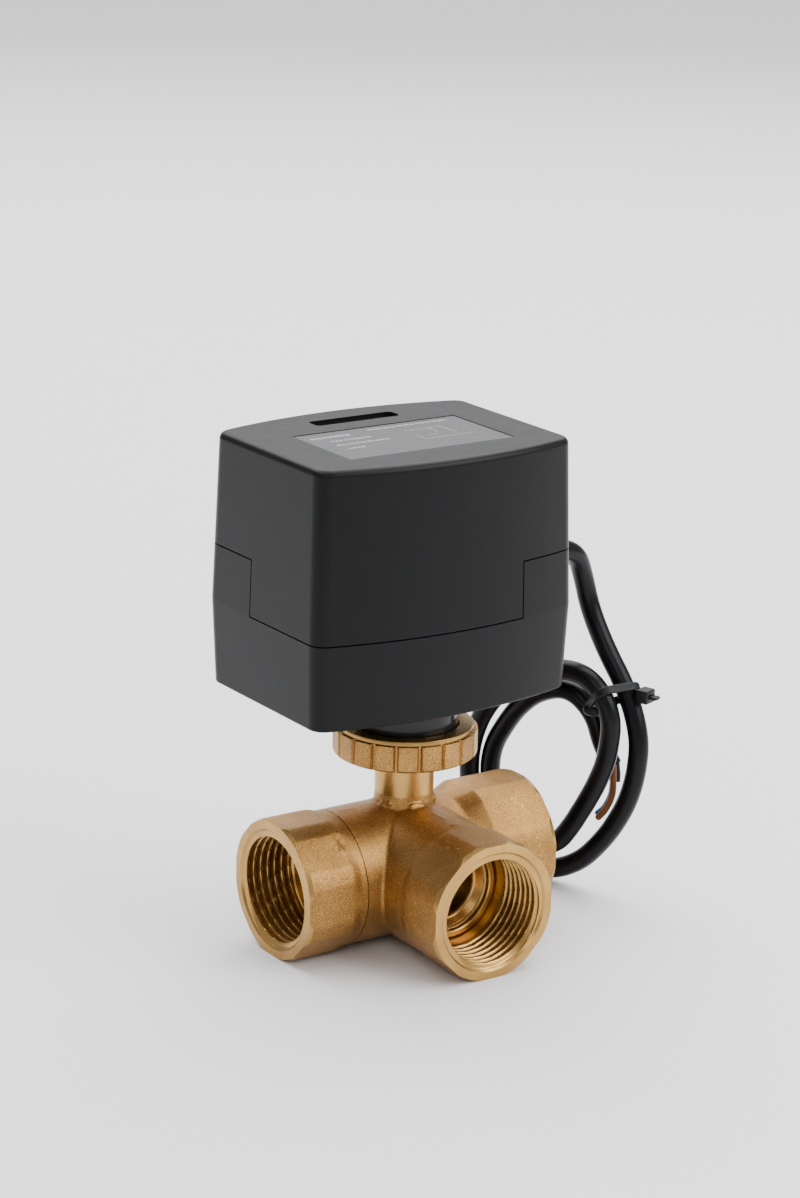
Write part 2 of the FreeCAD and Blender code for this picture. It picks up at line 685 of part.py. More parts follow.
def motor_screws():
    screws = []
    for place in motor_screw_places():
        head = cyl(2.5, UPPER_PLATE_Z - 1.5, UPPER_PLATE_Z, Z, place)
        screws.append(head.fuse(cyl(1.2, UPPER_PLATE_Z - 0.1, UPPER_PLATE_Z + 5.5, Z, place)).removeSplitter())
    return group(screws)


def output_shaft():
    half = STEM_SQUARE / 2 + 0.05
    low = NECK_TOP + 0.6
    outside = fuse([
        cyl(SHAFT_R, low, 59.4),
        cyl(8.0, 59.2, 62.0),
        cyl(SHAFT_HUB_R, 61.9, 67.0),
        cyl(SHAFT_UPPER_R, 66.9, DISC_Z - 2.4),
        cyl(SHAFT_TIP_R, DISC_Z - 2.5, DISC_Z + 0.9),
    ])
    return outside.cut(box(-half, -half, low - 1, half, half, STEM_TOP + 0.6))


def cam(level):
    """Switching cam: round hub with one lobe."""
    low = CAM_Z[level]
    hub = cyl(5.8, low, low + CAM_T)
    angle = CAM_LOBE_ANGLE[level]
    lobe = box(0, -2.4, low, CAM_LOBE_R - 1.2, 2.4, low + CAM_T)
    tip = cyl(2.4, low, low + CAM_T, Z, (CAM_LOBE_R - 2.4, 0))
    lobe = turned(lobe.fuse(tip), angle)
    return fuse([hub, lobe]).cut(cyl(SHAFT_UPPER_R + FIT, low - 1, low + CAM_T + 1))


def position_disc():
    """Two-tone disc that shows through the top window which port is open."""
    plate = cyl(DISC_R, DISC_Z, DISC_Z + 0.9)
    hub = cyl(5.2, DISC_Z - 2.3, DISC_Z + 0.1)
    return fuse([plate, hub]).cut(cyl(SHAFT_TIP_R + FIT, DISC_Z - 3, DISC_Z + 2))


def microswitch(level):
    low = SWITCH_Z[level]
    body = rounded_plate(SWITCH_X[0], -SWITCH_HALF_LENGTH, SWITCH_X[1], SWITCH_HALF_LENGTH,
                         low, low + SWITCH_T, 0.5)
    button = Part.makeCylinder(0.9, 0.5, V(SWITCH_X[0] - 0.3, -3.0, low + SWITCH_T / 2), X)
    pins = [box(SWITCH_X[1] - 0.5, y - 1.2, low + 2.9, SWITCH_X[1] + 3.2, y + 1.2, low + 3.5)
            for y in (-7.5, 0, 7.5)]
    holes = [cyl(1.1, low - 1, low + SWITCH_T + 1, Z, (SWITCH_SCREW[0], side * SWITCH_SCREW[1]))
             for side in (-1, 1)]
    return body.fuse([button] + pins).cut(holes)


def switch_lever(level):
    """Sprung steel leaf beside the switch's button, turning about its curled end."""
    low = SWITCH_Z[level] + SWITCH_T / 2 - LEVER_WIDTH / 2
    high = low + LEVER_WIDTH
    hinge_x = SWITCH_X[0] - 0.47
    leaf = box(hinge_x - 0.15, LEVER_HINGE_Y, low, hinge_x + 0.15, 7.0, high)
    leaf.rotate(V(hinge_x, LEVER_HINGE_Y, 0), Z, LEVER_REST_ANGLE)
    return leaf.fuse(cyl(0.42, low, high, Z, (hinge_x, LEVER_HINGE_Y))).removeSplitter()


def switch_spacers():
    foot = UPPER_PLATE_Z + PLATE_T
    gap_low = SWITCH_Z[0] + SWITCH_T
    pieces = [ring(2.2, 1.1, foot, SWITCH_Z[0], Z, (SWITCH_SCREW[0], side * SWITCH_SCREW[1]))
              for side in (-1, 1)]
    sheet = box(SWITCH_X[0], -SWITCH_HALF_LENGTH, gap_low, SWITCH_X[1], SWITCH_HALF_LENGTH, SWITCH_Z[1])
    holes = [cyl(1.1, gap_low - 1, SWITCH_Z[1] + 1, Z, (SWITCH_SCREW[0], side * SWITCH_SCREW[1]))
             for side in (-1, 1)]
    return group(pieces + [sheet.cut(holes)])


def switch_screws():
    top = SWITCH_Z[1] + SWITCH_T
    screws = []
    for side in (-1, 1):
        place = (SWITCH_SCREW[0], side * SWITCH_SCREW[1])
        head = cyl(1.9, top, top + 1.3, Z, place)
        screws.append(head.fuse(cyl(0.88, UPPER_PLATE_Z, top + 0.1, Z, place)).removeSplitter())
    return group(screws)


def board_posts():
    foot = UPPER_PLATE_Z + PLATE_T
    posts = []
    for side in (-1, 1):
        place = (26.5, side * 13.0)
        post = cyl(2.2, foot, BOARD_Z, Z, place)
        stud = cyl(1.15, foot - PLATE_T, foot + 0.1, Z, place)
        tip = cyl(1.1, BOARD_Z - 0.1, BOARD_Z + BOARD_T + 0.6, Z, place)
        posts.append(fuse([post, stud, tip]))
    return group(posts)


def circuit_board():
    board = box(8.5, -16.0, BOARD_Z, 29.6, 16.0, BOARD_Z + BOARD_T)
    tools = [cyl(1.15, BOARD_Z - 1, BOARD_Z + 3, Z, (26.5, side * 13.0)) for side in (-1, 1)]
    tools.append(box(25.0, -4.5, BOARD_Z - 1, 31.0, 4.5, BOARD_Z + 3))
    return board.cut(tools)


def terminal_block():
    low = BOARD_Z + BOARD_T
    block = box(15.0, -8.4, low, 24.4, 8.4, low + 9.0)
    tools = []
    for k in range(3):
        y = (k - 1) * 5.2
        tools.append(cyl(1.7, low + 6.0, low + 10, Z, (19.5, y)))
        tools.append(box(21.4, y - 1.5, low + 3.2, 26.0, y + 1.5, low + 6.4))
    return block.cut(tools)


def board_capacitor():
    low = BOARD_Z + BOARD_T
    return rounded_plate(9.4, -9.0, 13.8, 9.0, low, low + 12.0, 0.8)


def board_relay():
    low = BOARD_Z + BOARD_T
    return rounded_plate(14.8, 9.4, 23.4, 15.4, low, low + 8.0, 0.5)


# ---- cable -------------------------------------------------------------------------------
def cable_gland():
    """Rubber bushing gripping the housing wall, with a tapered sleeve outside."""
    outer_wall = CASE_X + CASE_HALF_LENGTH + 1.16
    inner_wall = outer_wall - WALL
    slope = 0.25            # how far the drafted wall leans in or out over the flanges
    body = fuse([
        Part.makeCylinder(GLAND_R, 1.6, V(inner_wall - slope - 1.6, 0, CABLE_Z), X),
        Part.makeCylinder(4.95, WALL + 1.2, V(inner_wall - 0.5, 0, CABLE_Z), X),
        Part.makeCylinder(GLAND_R, 1.8, V(outer_wall + slope, 0, CABLE_Z), X),
        Part.makeCone(5.2, 3.8, 9.0, V(outer_wall + 1.9, 0, CABLE_Z), X),
    ])
    return body.cut(Part.makeCylinder(CABLE_R + 0.05, 40, V(20, 0, CABLE_Z), X))


def tube_along(route, radius, report=None):
    """Round tube on straight runs joined by tangent arcs as large as the runs allow."""
    points = [V(*p) for p in route]
    edges = []
    start = points[0]
    for before, corner, after in zip(points, points[1:], points[2:]):
        back = before - corner
        ahead = after - corner
        reach = 0.45 * min(back.Length, ahead.Length)
        half_turn = (math.pi - back.getAngle(ahead)) / 2
        arc_r = reach / math.tan(half_turn)
        if report:
            print(report, "turn", round(math.degrees(2 * half_turn), 1), "radius", round(arc_r, 1))
        back.normalize()
        ahead.normalize()
        first = corner + back * reach
        last = corner + ahead * reach
        inward = back + ahead
        inward.normalize()
        centre_distance = math.hypot(reach, arc_r)
        middle = corner + inward * (centre_distance - arc_r)
        edges.append(Part.makeLine(start, first))
        edges.append(Part.Arc(first, middle, last).toShape())
        start = last
    edges.append(Part.makeLine(start, points[-1]))
    path = Part.Wire(edges)
    heading = points[1] - points[0]
    circle = Part.Wire([Part.makeCircle(radius, points[0], heading)])
    tube = path.makePipeShell([circle], True, True)
    if report:
        expected = math.pi * radius ** 2 * path.Length
        print(report, "length", round(path.Length, 1), "volume ratio", round(tube.Volume / expected, 4))
    return tube


def cable_lead():
    return tube_along(LEAD_ROUTE, CABLE_R, "cable_lead")


def cable_coil():
    """Outer shape of the two upright loops that the cable's rest is tied into."""
    def slab(half_width, half_height, thickness):
        rim = Part.Wire([Part.Ellipse(V(0, 0, 0), half_height, half_width).toShape()])
        block = Part.Face(rim).extrude(Z * thickness)
        block.translate(Z * (-thickness / 2))
        return block

    coil = slab(*COIL_OUTER, COIL_THICKNESS).cut(slab(*COIL_INNER, COIL_THICKNESS + 2))
    coil.rotate(V(0, 0, 0), Y, -90)
    coil.rotate(V(0, 0, 0), Z, COIL_TURN)
    coil.translate(COIL_CENTRE)
    return coil


def cable_tie():
    """Nylon tie round the strands, with its head and cut tail on the outer side."""
    along = TIE_RIGHT - TIE_LEFT
    span = along.Length
    inside_r = CABLE_R + 0.3
    outside_r = inside_r + 1.1
    width = 2.6

    def loop(radius, low, high):
        bar = box(0, -radius, low, span, radius, high)
        return fuse([bar, cyl(radius, low, high), cyl(radius, low, high, Z, (span, 0))])

    band = loop(outside_r, -width / 2, width / 2).cut(loop(inside_r, -width, width))
    head = box(span + outside_r - 0.6, -2.4, -2.3, span + outside_r + 3.6, 2.4, 2.3)
    tail = box(span + outside_r + 3.5, -1.1, -1.0, span + outside_r + 5.4, 0.1, 1.0)
    tie = fuse([band, head, tail])
    along.normalize()
    upright = Z - along * Z.dot(along)
    upright.normalize()
    across = upright.cross(along)
    matrix = FreeCAD.Matrix(
        along.x, across.x, upright.x, TIE_LEFT.x,
        along.y, across.y, upright.y, TIE_LEFT.y,
        along.z, across.z, upright.z, TIE_LEFT.z,
        0, 0, 0, 1)
    return tie.transformGeometry(matrix)


def cable_cores():
    """Bare end: three insulated cores that hang from the cut jacket."""
    cores = []
    for k in range(3):
        angle = math.radians(90 + 120 * k)
        dx = 1.25 * math.cos(angle)
        dy = 1.25 * math.sin(angle)
        route = [
            (65.4 + dx, -14.2 + dy, 20.0),
            (64.4 + dx, -13.2 + dy * 1.2, 11.5 + k),
            (60.8 + dx * 1.4, -9.8 + dy * 1.4, 4.0 + 1.5 * k),
        ]
        cores.append(tube_along(route, CORE_R))
    return group(cores)


def lead_wires():
    """Cores inside the housing, from the cable's inner end up to the terminals."""
    wires = []
    for k in range(3):
        y = (k - 1) * 2.1
        fan = (k - 1) * 5.2
        route = [
            (31.7, y * 0.9, CABLE_Z),
            (29.4, y, CABLE_Z + 1.2),
            (29.4, y * 1.5, 96.0),
            (27.4, fan * 0.8, 101.2),
            (22.6, fan, 101.4),
        ]
        wires.append(tube_along(route, 0.85))
    return group(wires)


# ---- build and write -------------------------------------------------------------------------
def build_all():
    outside = case_solid()
    walls = case_walls(outside)
    return {
        "valve_body": valve_body(),
        "run_port_connector": run_port_connector(),
        "branch_seat_retainer": branch_seat_retainer(),
        "ball": ball(),
        "seat_left": seat(-X, CONNECTOR_END + 1.3),
        "seat_right": seat(X, SEAT_BACK),
        "seat_branch": seat(-Y, SEAT_BACK),
        "stem": stem(),
        "stem_thrust_washer": ring(STEM_COLLAR_R, STEM_BORE_R + 0.04, STEM_COLLAR_TOP + 0.05, STEM_POCKET_TOP),
        "stem_o_rings": stem_o_rings(),
        "neck_retaining_ring": neck_retaining_ring(),
        "nut_slip_washer": nut_slip_washer(),
        "coupling_nut": coupling_nut(),
        "base_shell": base_shell(outside, walls),
        "mounting_spigot": mounting_spigot(),
        "cover_shell": cover_shell(walls),
        "label_plate": label_plate(),
        "window_lens": window_lens(),
        "case_screws": case_screws(),
        "lower_gear_plate": lower_gear_plate(),
        "upper_gear_plate": upper_gear_plate(),
        "gear_pillars": gear_pillars(),
        "plate_screws": plate_screws(),
        "shaft_bush": shaft_bush(),
        "output_shaft": output_shaft(),
        "output_gear": output_gear(),
        "idler_gear": idler_gear(),
        "idler_axle": idler_axle(),
        "motor_pinion": motor_pinion(),
        "motor_shaft": motor_shaft(),
        "gear_motor": gear_motor(),
        "motor_screws": motor_screws(),
        "cam_lower": cam(0),
        "cam_upper": cam(1),
        "position_disc": position_disc(),
        "microswitch_lower": microswitch(0),
        "microswitch_upper": microswitch(1),
        "switch_lever_lower": switch_lever(0),
        "switch_lever_upper": switch_lever(1),
        "switch_spacers": switch_spacers(),
        "switch_screws": switch_screws(),
        "board_posts": board_posts(),
        "circuit_board": circuit_board(),
        "terminal_block": terminal_block(),
        "board_capacitor": board_capacitor(),
        "board_relay": board_relay(),
        "lead_wires": lead_wires(),
        "cable_gland": cable_gland(),
        "cable_lead": cable_lead(),
        "cable_coil": cable_coil(),
        "cable_tie": cable_tie(),
        "cable_cores": cable_cores(),
    }


os.makedirs("parts", exist_ok=True)
for name, shape in build_all().items():
    shape.translate(V(0, BRANCH_REACH, 0))
    if not shape.isValid():
        print("not valid:", name)
    print(name, len(shape.Solids), round(shape.Volume, 1))
    shape.exportStep("parts/" + name + ".step")
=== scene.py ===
import math
import random

import bmesh
import bpy
import numpy as np
from mathutils import Matrix, Vector, noise


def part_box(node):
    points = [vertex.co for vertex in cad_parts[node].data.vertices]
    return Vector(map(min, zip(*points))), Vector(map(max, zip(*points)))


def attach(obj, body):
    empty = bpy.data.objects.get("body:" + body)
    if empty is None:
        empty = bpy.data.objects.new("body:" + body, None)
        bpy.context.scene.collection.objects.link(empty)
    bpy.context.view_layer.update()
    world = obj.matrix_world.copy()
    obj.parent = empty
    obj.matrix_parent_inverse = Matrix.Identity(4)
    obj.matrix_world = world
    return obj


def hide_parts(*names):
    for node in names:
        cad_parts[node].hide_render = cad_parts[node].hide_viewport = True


# Motorised three-way zone valve.  Everything is built in millimetres about the ball's
# centre, with +Z along the stem, and then placed in the row's frame.

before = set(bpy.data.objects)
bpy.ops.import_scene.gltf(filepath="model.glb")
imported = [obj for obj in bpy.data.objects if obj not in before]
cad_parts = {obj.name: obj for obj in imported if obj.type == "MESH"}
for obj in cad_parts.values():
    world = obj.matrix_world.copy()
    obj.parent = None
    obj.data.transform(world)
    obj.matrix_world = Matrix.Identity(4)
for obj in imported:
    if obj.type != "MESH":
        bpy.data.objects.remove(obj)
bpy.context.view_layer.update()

MM = 0.001
BALL_CENTRE = Vector((0.0, 0.0452, 0.0))
X = Vector((1, 0, 0))
Y = Vector((0, 1, 0))
Z = Vector((0, 0, 1))


def node_box(node):
    """A CAD node's lowest and highest corners, in millimetres about the ball's centre."""
    low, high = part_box(node)
    return (Vector(low) - BALL_CENTRE) / MM, (Vector(high) - BALL_CENTRE) / MM


BODY_LOW, BODY_HIGH = node_box("valve_body")
NUT_LOW, NUT_HIGH = node_box("coupling_nut")
LABEL_LOW, LABEL_HIGH = node_box("label_plate")

# sizes that the solids and the visual pieces share, in millimetres
RUN_REACH = 43.5
RIGHT_REACH = 40.2
RIGHT_OCTAGON = 20.0
WAIST_R = 17.6
BRANCH_REACH = -BODY_LOW.y
NUT_R = 20.5
FLOOR = BODY_LOW.z
HALF_FLATS = -BODY_LOW.z
BARREL_R = 19.4
CORNER_R = 20.2
FACE_BEVEL = (0.5, 1.5)
OCTAGON_LENGTH = 15.2
SEAM_REACH = 24.0
SEAM_GAP = 0.28
SEAM_SLACK = 0.02
SPIGOT_INNER = 16.7
CONNECTOR_R = 16.48
THREAD_MAJOR_R = 16.6
THREAD_MINOR_R = 15.15
THREAD_PITCH = 2.309
THREAD_RUN = 16.6
THREAD_DEPTH = 18.3
ENTRY_R = 17.3
FLOW_R = 8.8
SEAT_POCKET_R = 11.05
BALL_ROOM_R = 15.6
RETAINER_R = 14.6
STEM_BORE_R = 4.56
STEM_FLANGE_R = 6.6
NECK_R = 8.4
NECK_FOOT = 22.6
NECK_TOP = BODY_HIGH.z
NECK_GROOVE_R = 7.4
NOTCHES = 19
NOTCH_DEPTH = 0.9
NUT_LIP_R = 19.25


def to_row(point):
    return BALL_CENTRE + Vector(point) * MM


# ---- objects and meshes ----------------------------------------------------------------------
def new_object(name, mesh, *materials):
    mesh.name = name
    obj = bpy.data.objects.new(name, mesh)
    bpy.context.scene.collection.objects.link(obj)
    for material in materials[len(mesh.materials):]:
        mesh.materials.append(material)
    return obj


def place(obj):
    """From millimetres about the ball's centre to the row's metres."""
    obj.data.transform(Matrix.Translation(BALL_CENTRE) @ Matrix.Scale(MM, 4))
    return obj


def smooth(mesh, degrees=32):
    mesh.polygons.foreach_set("use_smooth", [True] * len(mesh.polygons))
    mesh.set_sharp_from_angle(angle=math.radians(degrees))
    part_shading(mesh)
    mesh.update()


def part_shading(mesh):
    """Keeps the shading apart along the edges where the material changes."""
    loops, faces, edges = len(mesh.loops), len(mesh.polygons), len(mesh.edges)
    edge_of_loop = np.empty(loops, dtype=np.int32)
    loop_total = np.empty(faces, dtype=np.int32)
    kind = np.empty(faces, dtype=np.int32)
    mesh.loops.foreach_get("edge_index", edge_of_loop)
    mesh.polygons.foreach_get("loop_total", loop_total)
    mesh.polygons.foreach_get("material_index", kind)
    kind_of_loop = np.repeat(kind, loop_total)
    least, most = np.full(edges, 99), np.full(edges, -1)
    np.minimum.at(least, edge_of_loop, kind_of_loop)
    np.maximum.at(most, edge_of_loop, kind_of_loop)
    sharp = np.empty(edges, dtype=bool)
    mesh.edges.foreach_get("use_edge_sharp", sharp)
    mesh.edges.foreach_set("use_edge_sharp", sharp | (least != most))


def finish_piece(obj, body, slot, *nodes, degrees=32):
    """Places a finished mesh, lets it ride on its body and stand for its CAD nodes."""
    smooth(obj.data, degrees)
    place(obj)
    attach(obj, body)
    if nodes:
        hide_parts(*nodes)
    return obj


def mesh_from(points, faces):
    mesh = bpy.data.meshes.new("mesh")
    mesh.from_pydata([tuple(p) for p in points], [], faces)
    mesh.validate()
    mesh.update()
    return mesh


def axis_frame(axis):
    """Two directions square to an axis, so that (side, up, axis) is right-handed."""
    axis = Vector(axis)
    side = Z.cross(axis) if abs(axis.z) < 0.9 else X.copy()
    side.normalize()
    return side, axis.cross(side), axis


def tube_grid(rows, columns, wrap_ends=True):
    """Faces of a grid of rows round a closed section, with its two ends capped."""
    faces = []
    for i in range(rows - 1):
        for j in range(columns):
            a = i * columns + j
            b = i * columns + (j + 1) % columns
            faces.append((a, b, b + columns, a + columns))
    if wrap_ends:
        faces.append(tuple(range(columns - 1, -1, -1)))
        faces.append(tuple(range((rows - 1) * columns, rows * columns)))
    return faces


def lathe(profile, axis=Z, columns=144):
    """Solid of revolution from (distance along the axis, radius) stations."""
    side, up, along = axis_frame(axis)
    points = []
    for station, radius in profile:
        for j in range(columns):
            angle = 2 * math.pi * j / columns
            out = side * math.cos(angle) + up * math.sin(angle)
            points.append(along * station + out * radius)
    return mesh_from(points, tube_grid(len(profile), columns))


def ring_lathe(profile, axis=Z, columns=144, radius_at=None):
    """Closed ring of revolution: the profile's last station joins its first.
    radius_at(angle, radius) may vary the radius round the axis."""
    side, up, along = axis_frame(axis)
    points = []
    for station, radius in profile:
        for j in range(columns):
            angle = 2 * math.pi * j / columns
            here = radius_at(angle, radius) if radius_at else radius
            out = side * math.cos(angle) + up * math.sin(angle)
            points.append(along * station + out * here)
    faces = tube_grid(len(profile), columns, wrap_ends=False)
    last = (len(profile) - 1) * columns
    for j in range(columns):
        k = (j + 1) % columns
        faces.append((last + j, last + k, k, j))
    return mesh_from(points, faces)


def box_mesh(low, high):
    xs, ys, zs = zip(low, high)
    points = [(x, y, z) for z in zs for y in ys for x in xs]
    faces = [(0, 2, 3, 1), (4, 5, 7, 6), (0, 1, 5, 4), (1, 3, 7, 5), (3, 2, 6, 7), (2, 0, 4, 6)]
    return mesh_from(points, faces)


def joined(meshes):
    whole = bmesh.new()
    for mesh in meshes:
        whole.from_mesh(mesh)
    result = bpy.data.meshes.new("joined")
    whole.to_mesh(result)
    whole.free()
    return result


def with_modifiers(mesh, *settings):
    """The mesh after modifiers, each given as (type, {property: value})."""
    obj = bpy.data.objects.new("work", mesh)
    bpy.context.scene.collection.objects.link(obj)
    for kind, values in settings:
        modifier = obj.modifiers.new(kind, kind)
        for key, value in values.items():
            setattr(modifier, key, value)
    bpy.context.view_layer.update()
    graph = bpy.context.evaluated_depsgraph_get()
    result = bpy.data.meshes.new_from_object(obj.evaluated_get(graph))
    bpy.data.objects.remove(obj)
    return result


def dressed(mesh, materials, index):
    """The mesh with all its faces in one of the materials."""
    mesh.materials.clear()
    for material in materials:
        mesh.materials.append(material)
    mesh.polygons.foreach_set("material_index", [index] * len(mesh.polygons))
    return mesh


def combine(mesh, tool, operation="DIFFERENCE"):
    """Boolean of two closed meshes; the cut faces take the turned material."""
    dressed(tool, (FORGED, TURNED), 1)
    cutter = bpy.data.objects.new("cutter", tool)
    bpy.context.scene.collection.objects.link(cutter)
    result = with_modifiers(mesh, ("BOOLEAN", {"operation": operation, "solver": "MANIFOLD",
                                              "object": cutter}))
    bpy.data.objects.remove(cutter)
    return result


# ---- materials -------------------------------------------------------------------------------
class Recipe:
    """A node material under construction, with its shader and object coordinates."""

    def __init__(self, name, colour, roughness, metallic=0.0):
        self.material = bpy.data.materials.new(name)
        self.material.use_nodes = True
        self.tree = self.material.node_tree
        self.shader = self.tree.nodes["Principled BSDF"]
        self.shader.inputs["Base Color"].default_value = (*colour, 1)
        self.shader.inputs["Roughness"].default_value = roughness
        self.shader.inputs["Metallic"].default_value = metallic
        self.where = self.tree.nodes.new("ShaderNodeTexCoord").outputs["Object"]
        self.material.diffuse_color = (*colour, 1)

    def node(self, kind, **values):
        made = self.tree.nodes.new(kind)
        for key, value in values.items():
            setattr(made, key, value)
        return made

    def link(self, source, target):
        self.tree.links.new(source, target)

    def noise(self, cells_per_mm, detail=3, roughness=0.55, stretch=(1, 1, 1)):
        scaled = self.node("ShaderNodeMapping")
        scaled.inputs["Scale"].default_value = stretch
        self.link(self.where, scaled.inputs["Vector"])
        made = self.node("ShaderNodeTexNoise")
        made.inputs["Scale"].default_value = cells_per_mm / MM
        made.inputs["Detail"].default_value = detail
        made.inputs["Roughness"].default_value = roughness
        self.link(scaled.outputs["Vector"], made.inputs["Vector"])
        return made.outputs["Fac"]

    def ramp(self, source, *stops):
        made = self.node("ShaderNodeValToRGB")
        points = made.color_ramp.elements
        while len(points) < len(stops):
            points.new(0.5)
        for point, (place_at, colour) in zip(points, stops):
            point.position = place_at
            point.color = (colour, colour, colour, 1)
        self.link(source, made.inputs["Fac"])
        return made.outputs["Color"]

    def mix(self, factor, first, second):
        made = self.node("ShaderNodeMix", data_type="RGBA")
        if hasattr(factor, "default_value"):
            self.link(factor, made.inputs[0])
        else:
            made.inputs[0].default_value = factor
        for value, target in ((first, made.inputs[6]), (second, made.inputs[7])):
            if hasattr(value, "default_value"):
                self.link(value, target)
            else:
                target.default_value = (*value, 1)
        return made.outputs[2]

    def scaled(self, source, low, high):
        made = self.node("ShaderNodeMapRange")
        made.inputs["To Min"].default_value = low
        made.inputs["To Max"].default_value = high
        self.link(source, made.inputs["Value"])
        return made.outputs["Result"]

    def colour(self, source):
        self.link(source, self.shader.inputs["Base Color"])

    def rough(self, source):
        self.link(source, self.shader.inputs["Roughness"])

    def bump(self, source, height_mm, strength=1.0):
        """Adds a relief of about height_mm over whatever relief is already there."""
        made = self.node("ShaderNodeBump")
        made.inputs["Strength"].default_value = strength
        made.inputs["Distance"].default_value = height_mm * MM
        self.link(source, made.inputs["Height"])
        before = self.shader.inputs["Normal"].links
        if before:
            self.link(before[0].from_socket, made.inputs["Normal"])
        self.link(made.outputs["Normal"], self.shader.inputs["Normal"])


def forged_brass():
    """Hot-forged brass, sand-blasted: fine grain, darker stains, a few bright specks."""
    r = Recipe("forged_brass", (0.50, 0.27, 0.09), 0.40, 0.85)
    stain = r.noise(0.07, 4, 0.6)
    grain = r.noise(2.4, 3, 0.7)
    specks = r.ramp(r.noise(1.0, 2, 0.5), (0.70, 0.0), (0.75, 1.0))
    base = r.mix(r.ramp(stain, (0.35, 0.0), (0.65, 1.0)), (0.40, 0.208, 0.058), (0.56, 0.308, 0.088))
    base = r.mix(r.ramp(grain, (0.36, 1.0), (0.60, 0.0)), base, (0.23, 0.112, 0.030))
    base = r.mix(specks, base, (0.72, 0.50, 0.25))
    r.colour(base)
    r.rough(r.scaled(grain, 0.26, 0.50))
    r.bump(r.noise(0.35, 3), 0.12, 0.5)
    r.bump(grain, 0.13, 0.9)
    return r.material


def turned_brass():
    """Machined brass: brighter and smoother, with faint tool lines and tarnish."""
    r = Recipe("turned_brass", (0.50, 0.29, 0.08), 0.26, 0.88)
    haze = r.noise(0.12, 3, 0.5)
    lines = r.noise(1.8, 2, 0.5, stretch=(1, 1, 1))
    r.colour(r.mix(r.ramp(haze, (0.3, 0.0), (0.7, 1.0)), (0.40, 0.224, 0.064), (0.52, 0.306, 0.092)))
    r.rough(r.scaled(haze, 0.20, 0.34))
    r.bump(lines, 0.01, 0.3)
    return r.material


def case_plastic():
    """Satin black moulding with a fine spark-eroded texture."""
    r = Recipe("case_plastic", (0.007, 0.007, 0.0075), 0.44)
    r.shader.inputs["Specular IOR Level"].default_value = 0.14
    grain = r.noise(5.0, 2, 0.5)
    r.colour(r.mix(r.noise(0.05, 3), (0.0035, 0.0035, 0.004), (0.0055, 0.0055, 0.006)))
    r.rough(r.scaled(r.noise(0.3, 2), 0.32, 0.40))
    r.bump(grain, 0.018, 0.5)
    return r.material


def gloss_plastic(name="gloss_plastic", colour=(0.012, 0.012, 0.013), roughness=0.16):
    r = Recipe(name, colour, roughness)
    r.shader.inputs["Specular IOR Level"].default_value = 0.22
    light = tuple(min(1.0, c * 1.5 + 0.002) for c in colour)
    r.colour(r.mix(r.noise(0.1, 2), colour, light))
    r.rough(r.scaled(r.noise(0.4, 3), roughness * 0.8, roughness * 1.35))
    r.bump(r.noise(0.25, 2), 0.02, 0.3)
    return r.material


def matte_plastic(name, colour, roughness=0.5):
    r = Recipe(name, colour, roughness)
    dark = tuple(c * 0.82 for c in colour)
    r.colour(r.mix(r.noise(0.08, 3), dark, colour))
    r.rough(r.scaled(r.noise(0.5, 2), roughness - 0.07, roughness + 0.07))
    r.bump(r.noise(3.0, 2), 0.01, 0.4)
    return r.material


def steel(name, colour=(0.58, 0.58, 0.60), roughness=0.32, stretch=(1, 1, 8)):
    r = Recipe(name, colour, roughness, 1.0)
    brushed = r.noise(0.8, 3, 0.6, stretch=stretch)
    r.colour(r.mix(brushed, tuple(c * 0.8 for c in colour), colour))
    r.rough(r.scaled(brushed, roughness - 0.08, roughness + 0.1))
    r.bump(brushed, 0.008, 0.4)
    return r.material


def rubber(name="rubber", colour=(0.02, 0.02, 0.02)):
    r = Recipe(name, colour, 0.55)
    r.colour(r.mix(r.noise(0.15, 3), colour, tuple(c * 1.5 for c in colour)))
    r.rough(r.scaled(r.noise(0.6, 2), 0.48, 0.64))
    r.bump(r.noise(1.5, 3), 0.02, 0.4)
    return r.material


def sheath():
    """Glossy PVC cable sheath with faint waves from the extruder."""
    r = Recipe("cable_sheath", (0.005, 0.005, 0.006), 0.30)
    r.shader.inputs["Specular IOR Level"].default_value = 0.15
    r.colour(r.mix(r.noise(0.06, 3), (0.003, 0.003, 0.004), (0.006, 0.006, 0.0075)))
    r.rough(r.scaled(r.noise(0.25, 4), 0.24, 0.36))
    r.bump(r.noise(0.18, 3), 0.05, 0.25)
    r.bump(r.noise(2.5, 2), 0.01, 0.3)
    return r.material


FORGED = forged_brass()
TURNED = turned_brass()
CASE = case_plastic()
GLOSS = gloss_plastic()
TIE = gloss_plastic("tie_nylon", (0.006, 0.006, 0.007), 0.42)
RUBBER = rubber()
SHEATH = sheath()

# ---- camera ----------------------------------------------------------------------------------
CAMERA_PLACE = (-483.87, -704.34, 330.24)
CAMERA_RIGHT = Vector((0.82924, -0.55846, 0.02210))
CAMERA_UP = Vector((0.14061, 0.24672, 0.95883))


def make_camera():
    lens = bpy.data.cameras.new("camera")
    lens.lens = 96.16
    lens.sensor_width = 36.0
    lens.clip_start = 0.05
    lens.clip_end = 30.0
    camera = bpy.data.objects.new("camera", lens)
    bpy.context.scene.collection.objects.link(camera)
    back = CAMERA_RIGHT.cross(CAMERA_UP)
    turn = Matrix((CAMERA_RIGHT, CAMERA_UP, back)).transposed()
    camera.matrix_world = Matrix.Translation(to_row(CAMERA_PLACE)) @ turn.to_4x4()
    bpy.context.scene.camera = camera


make_camera()

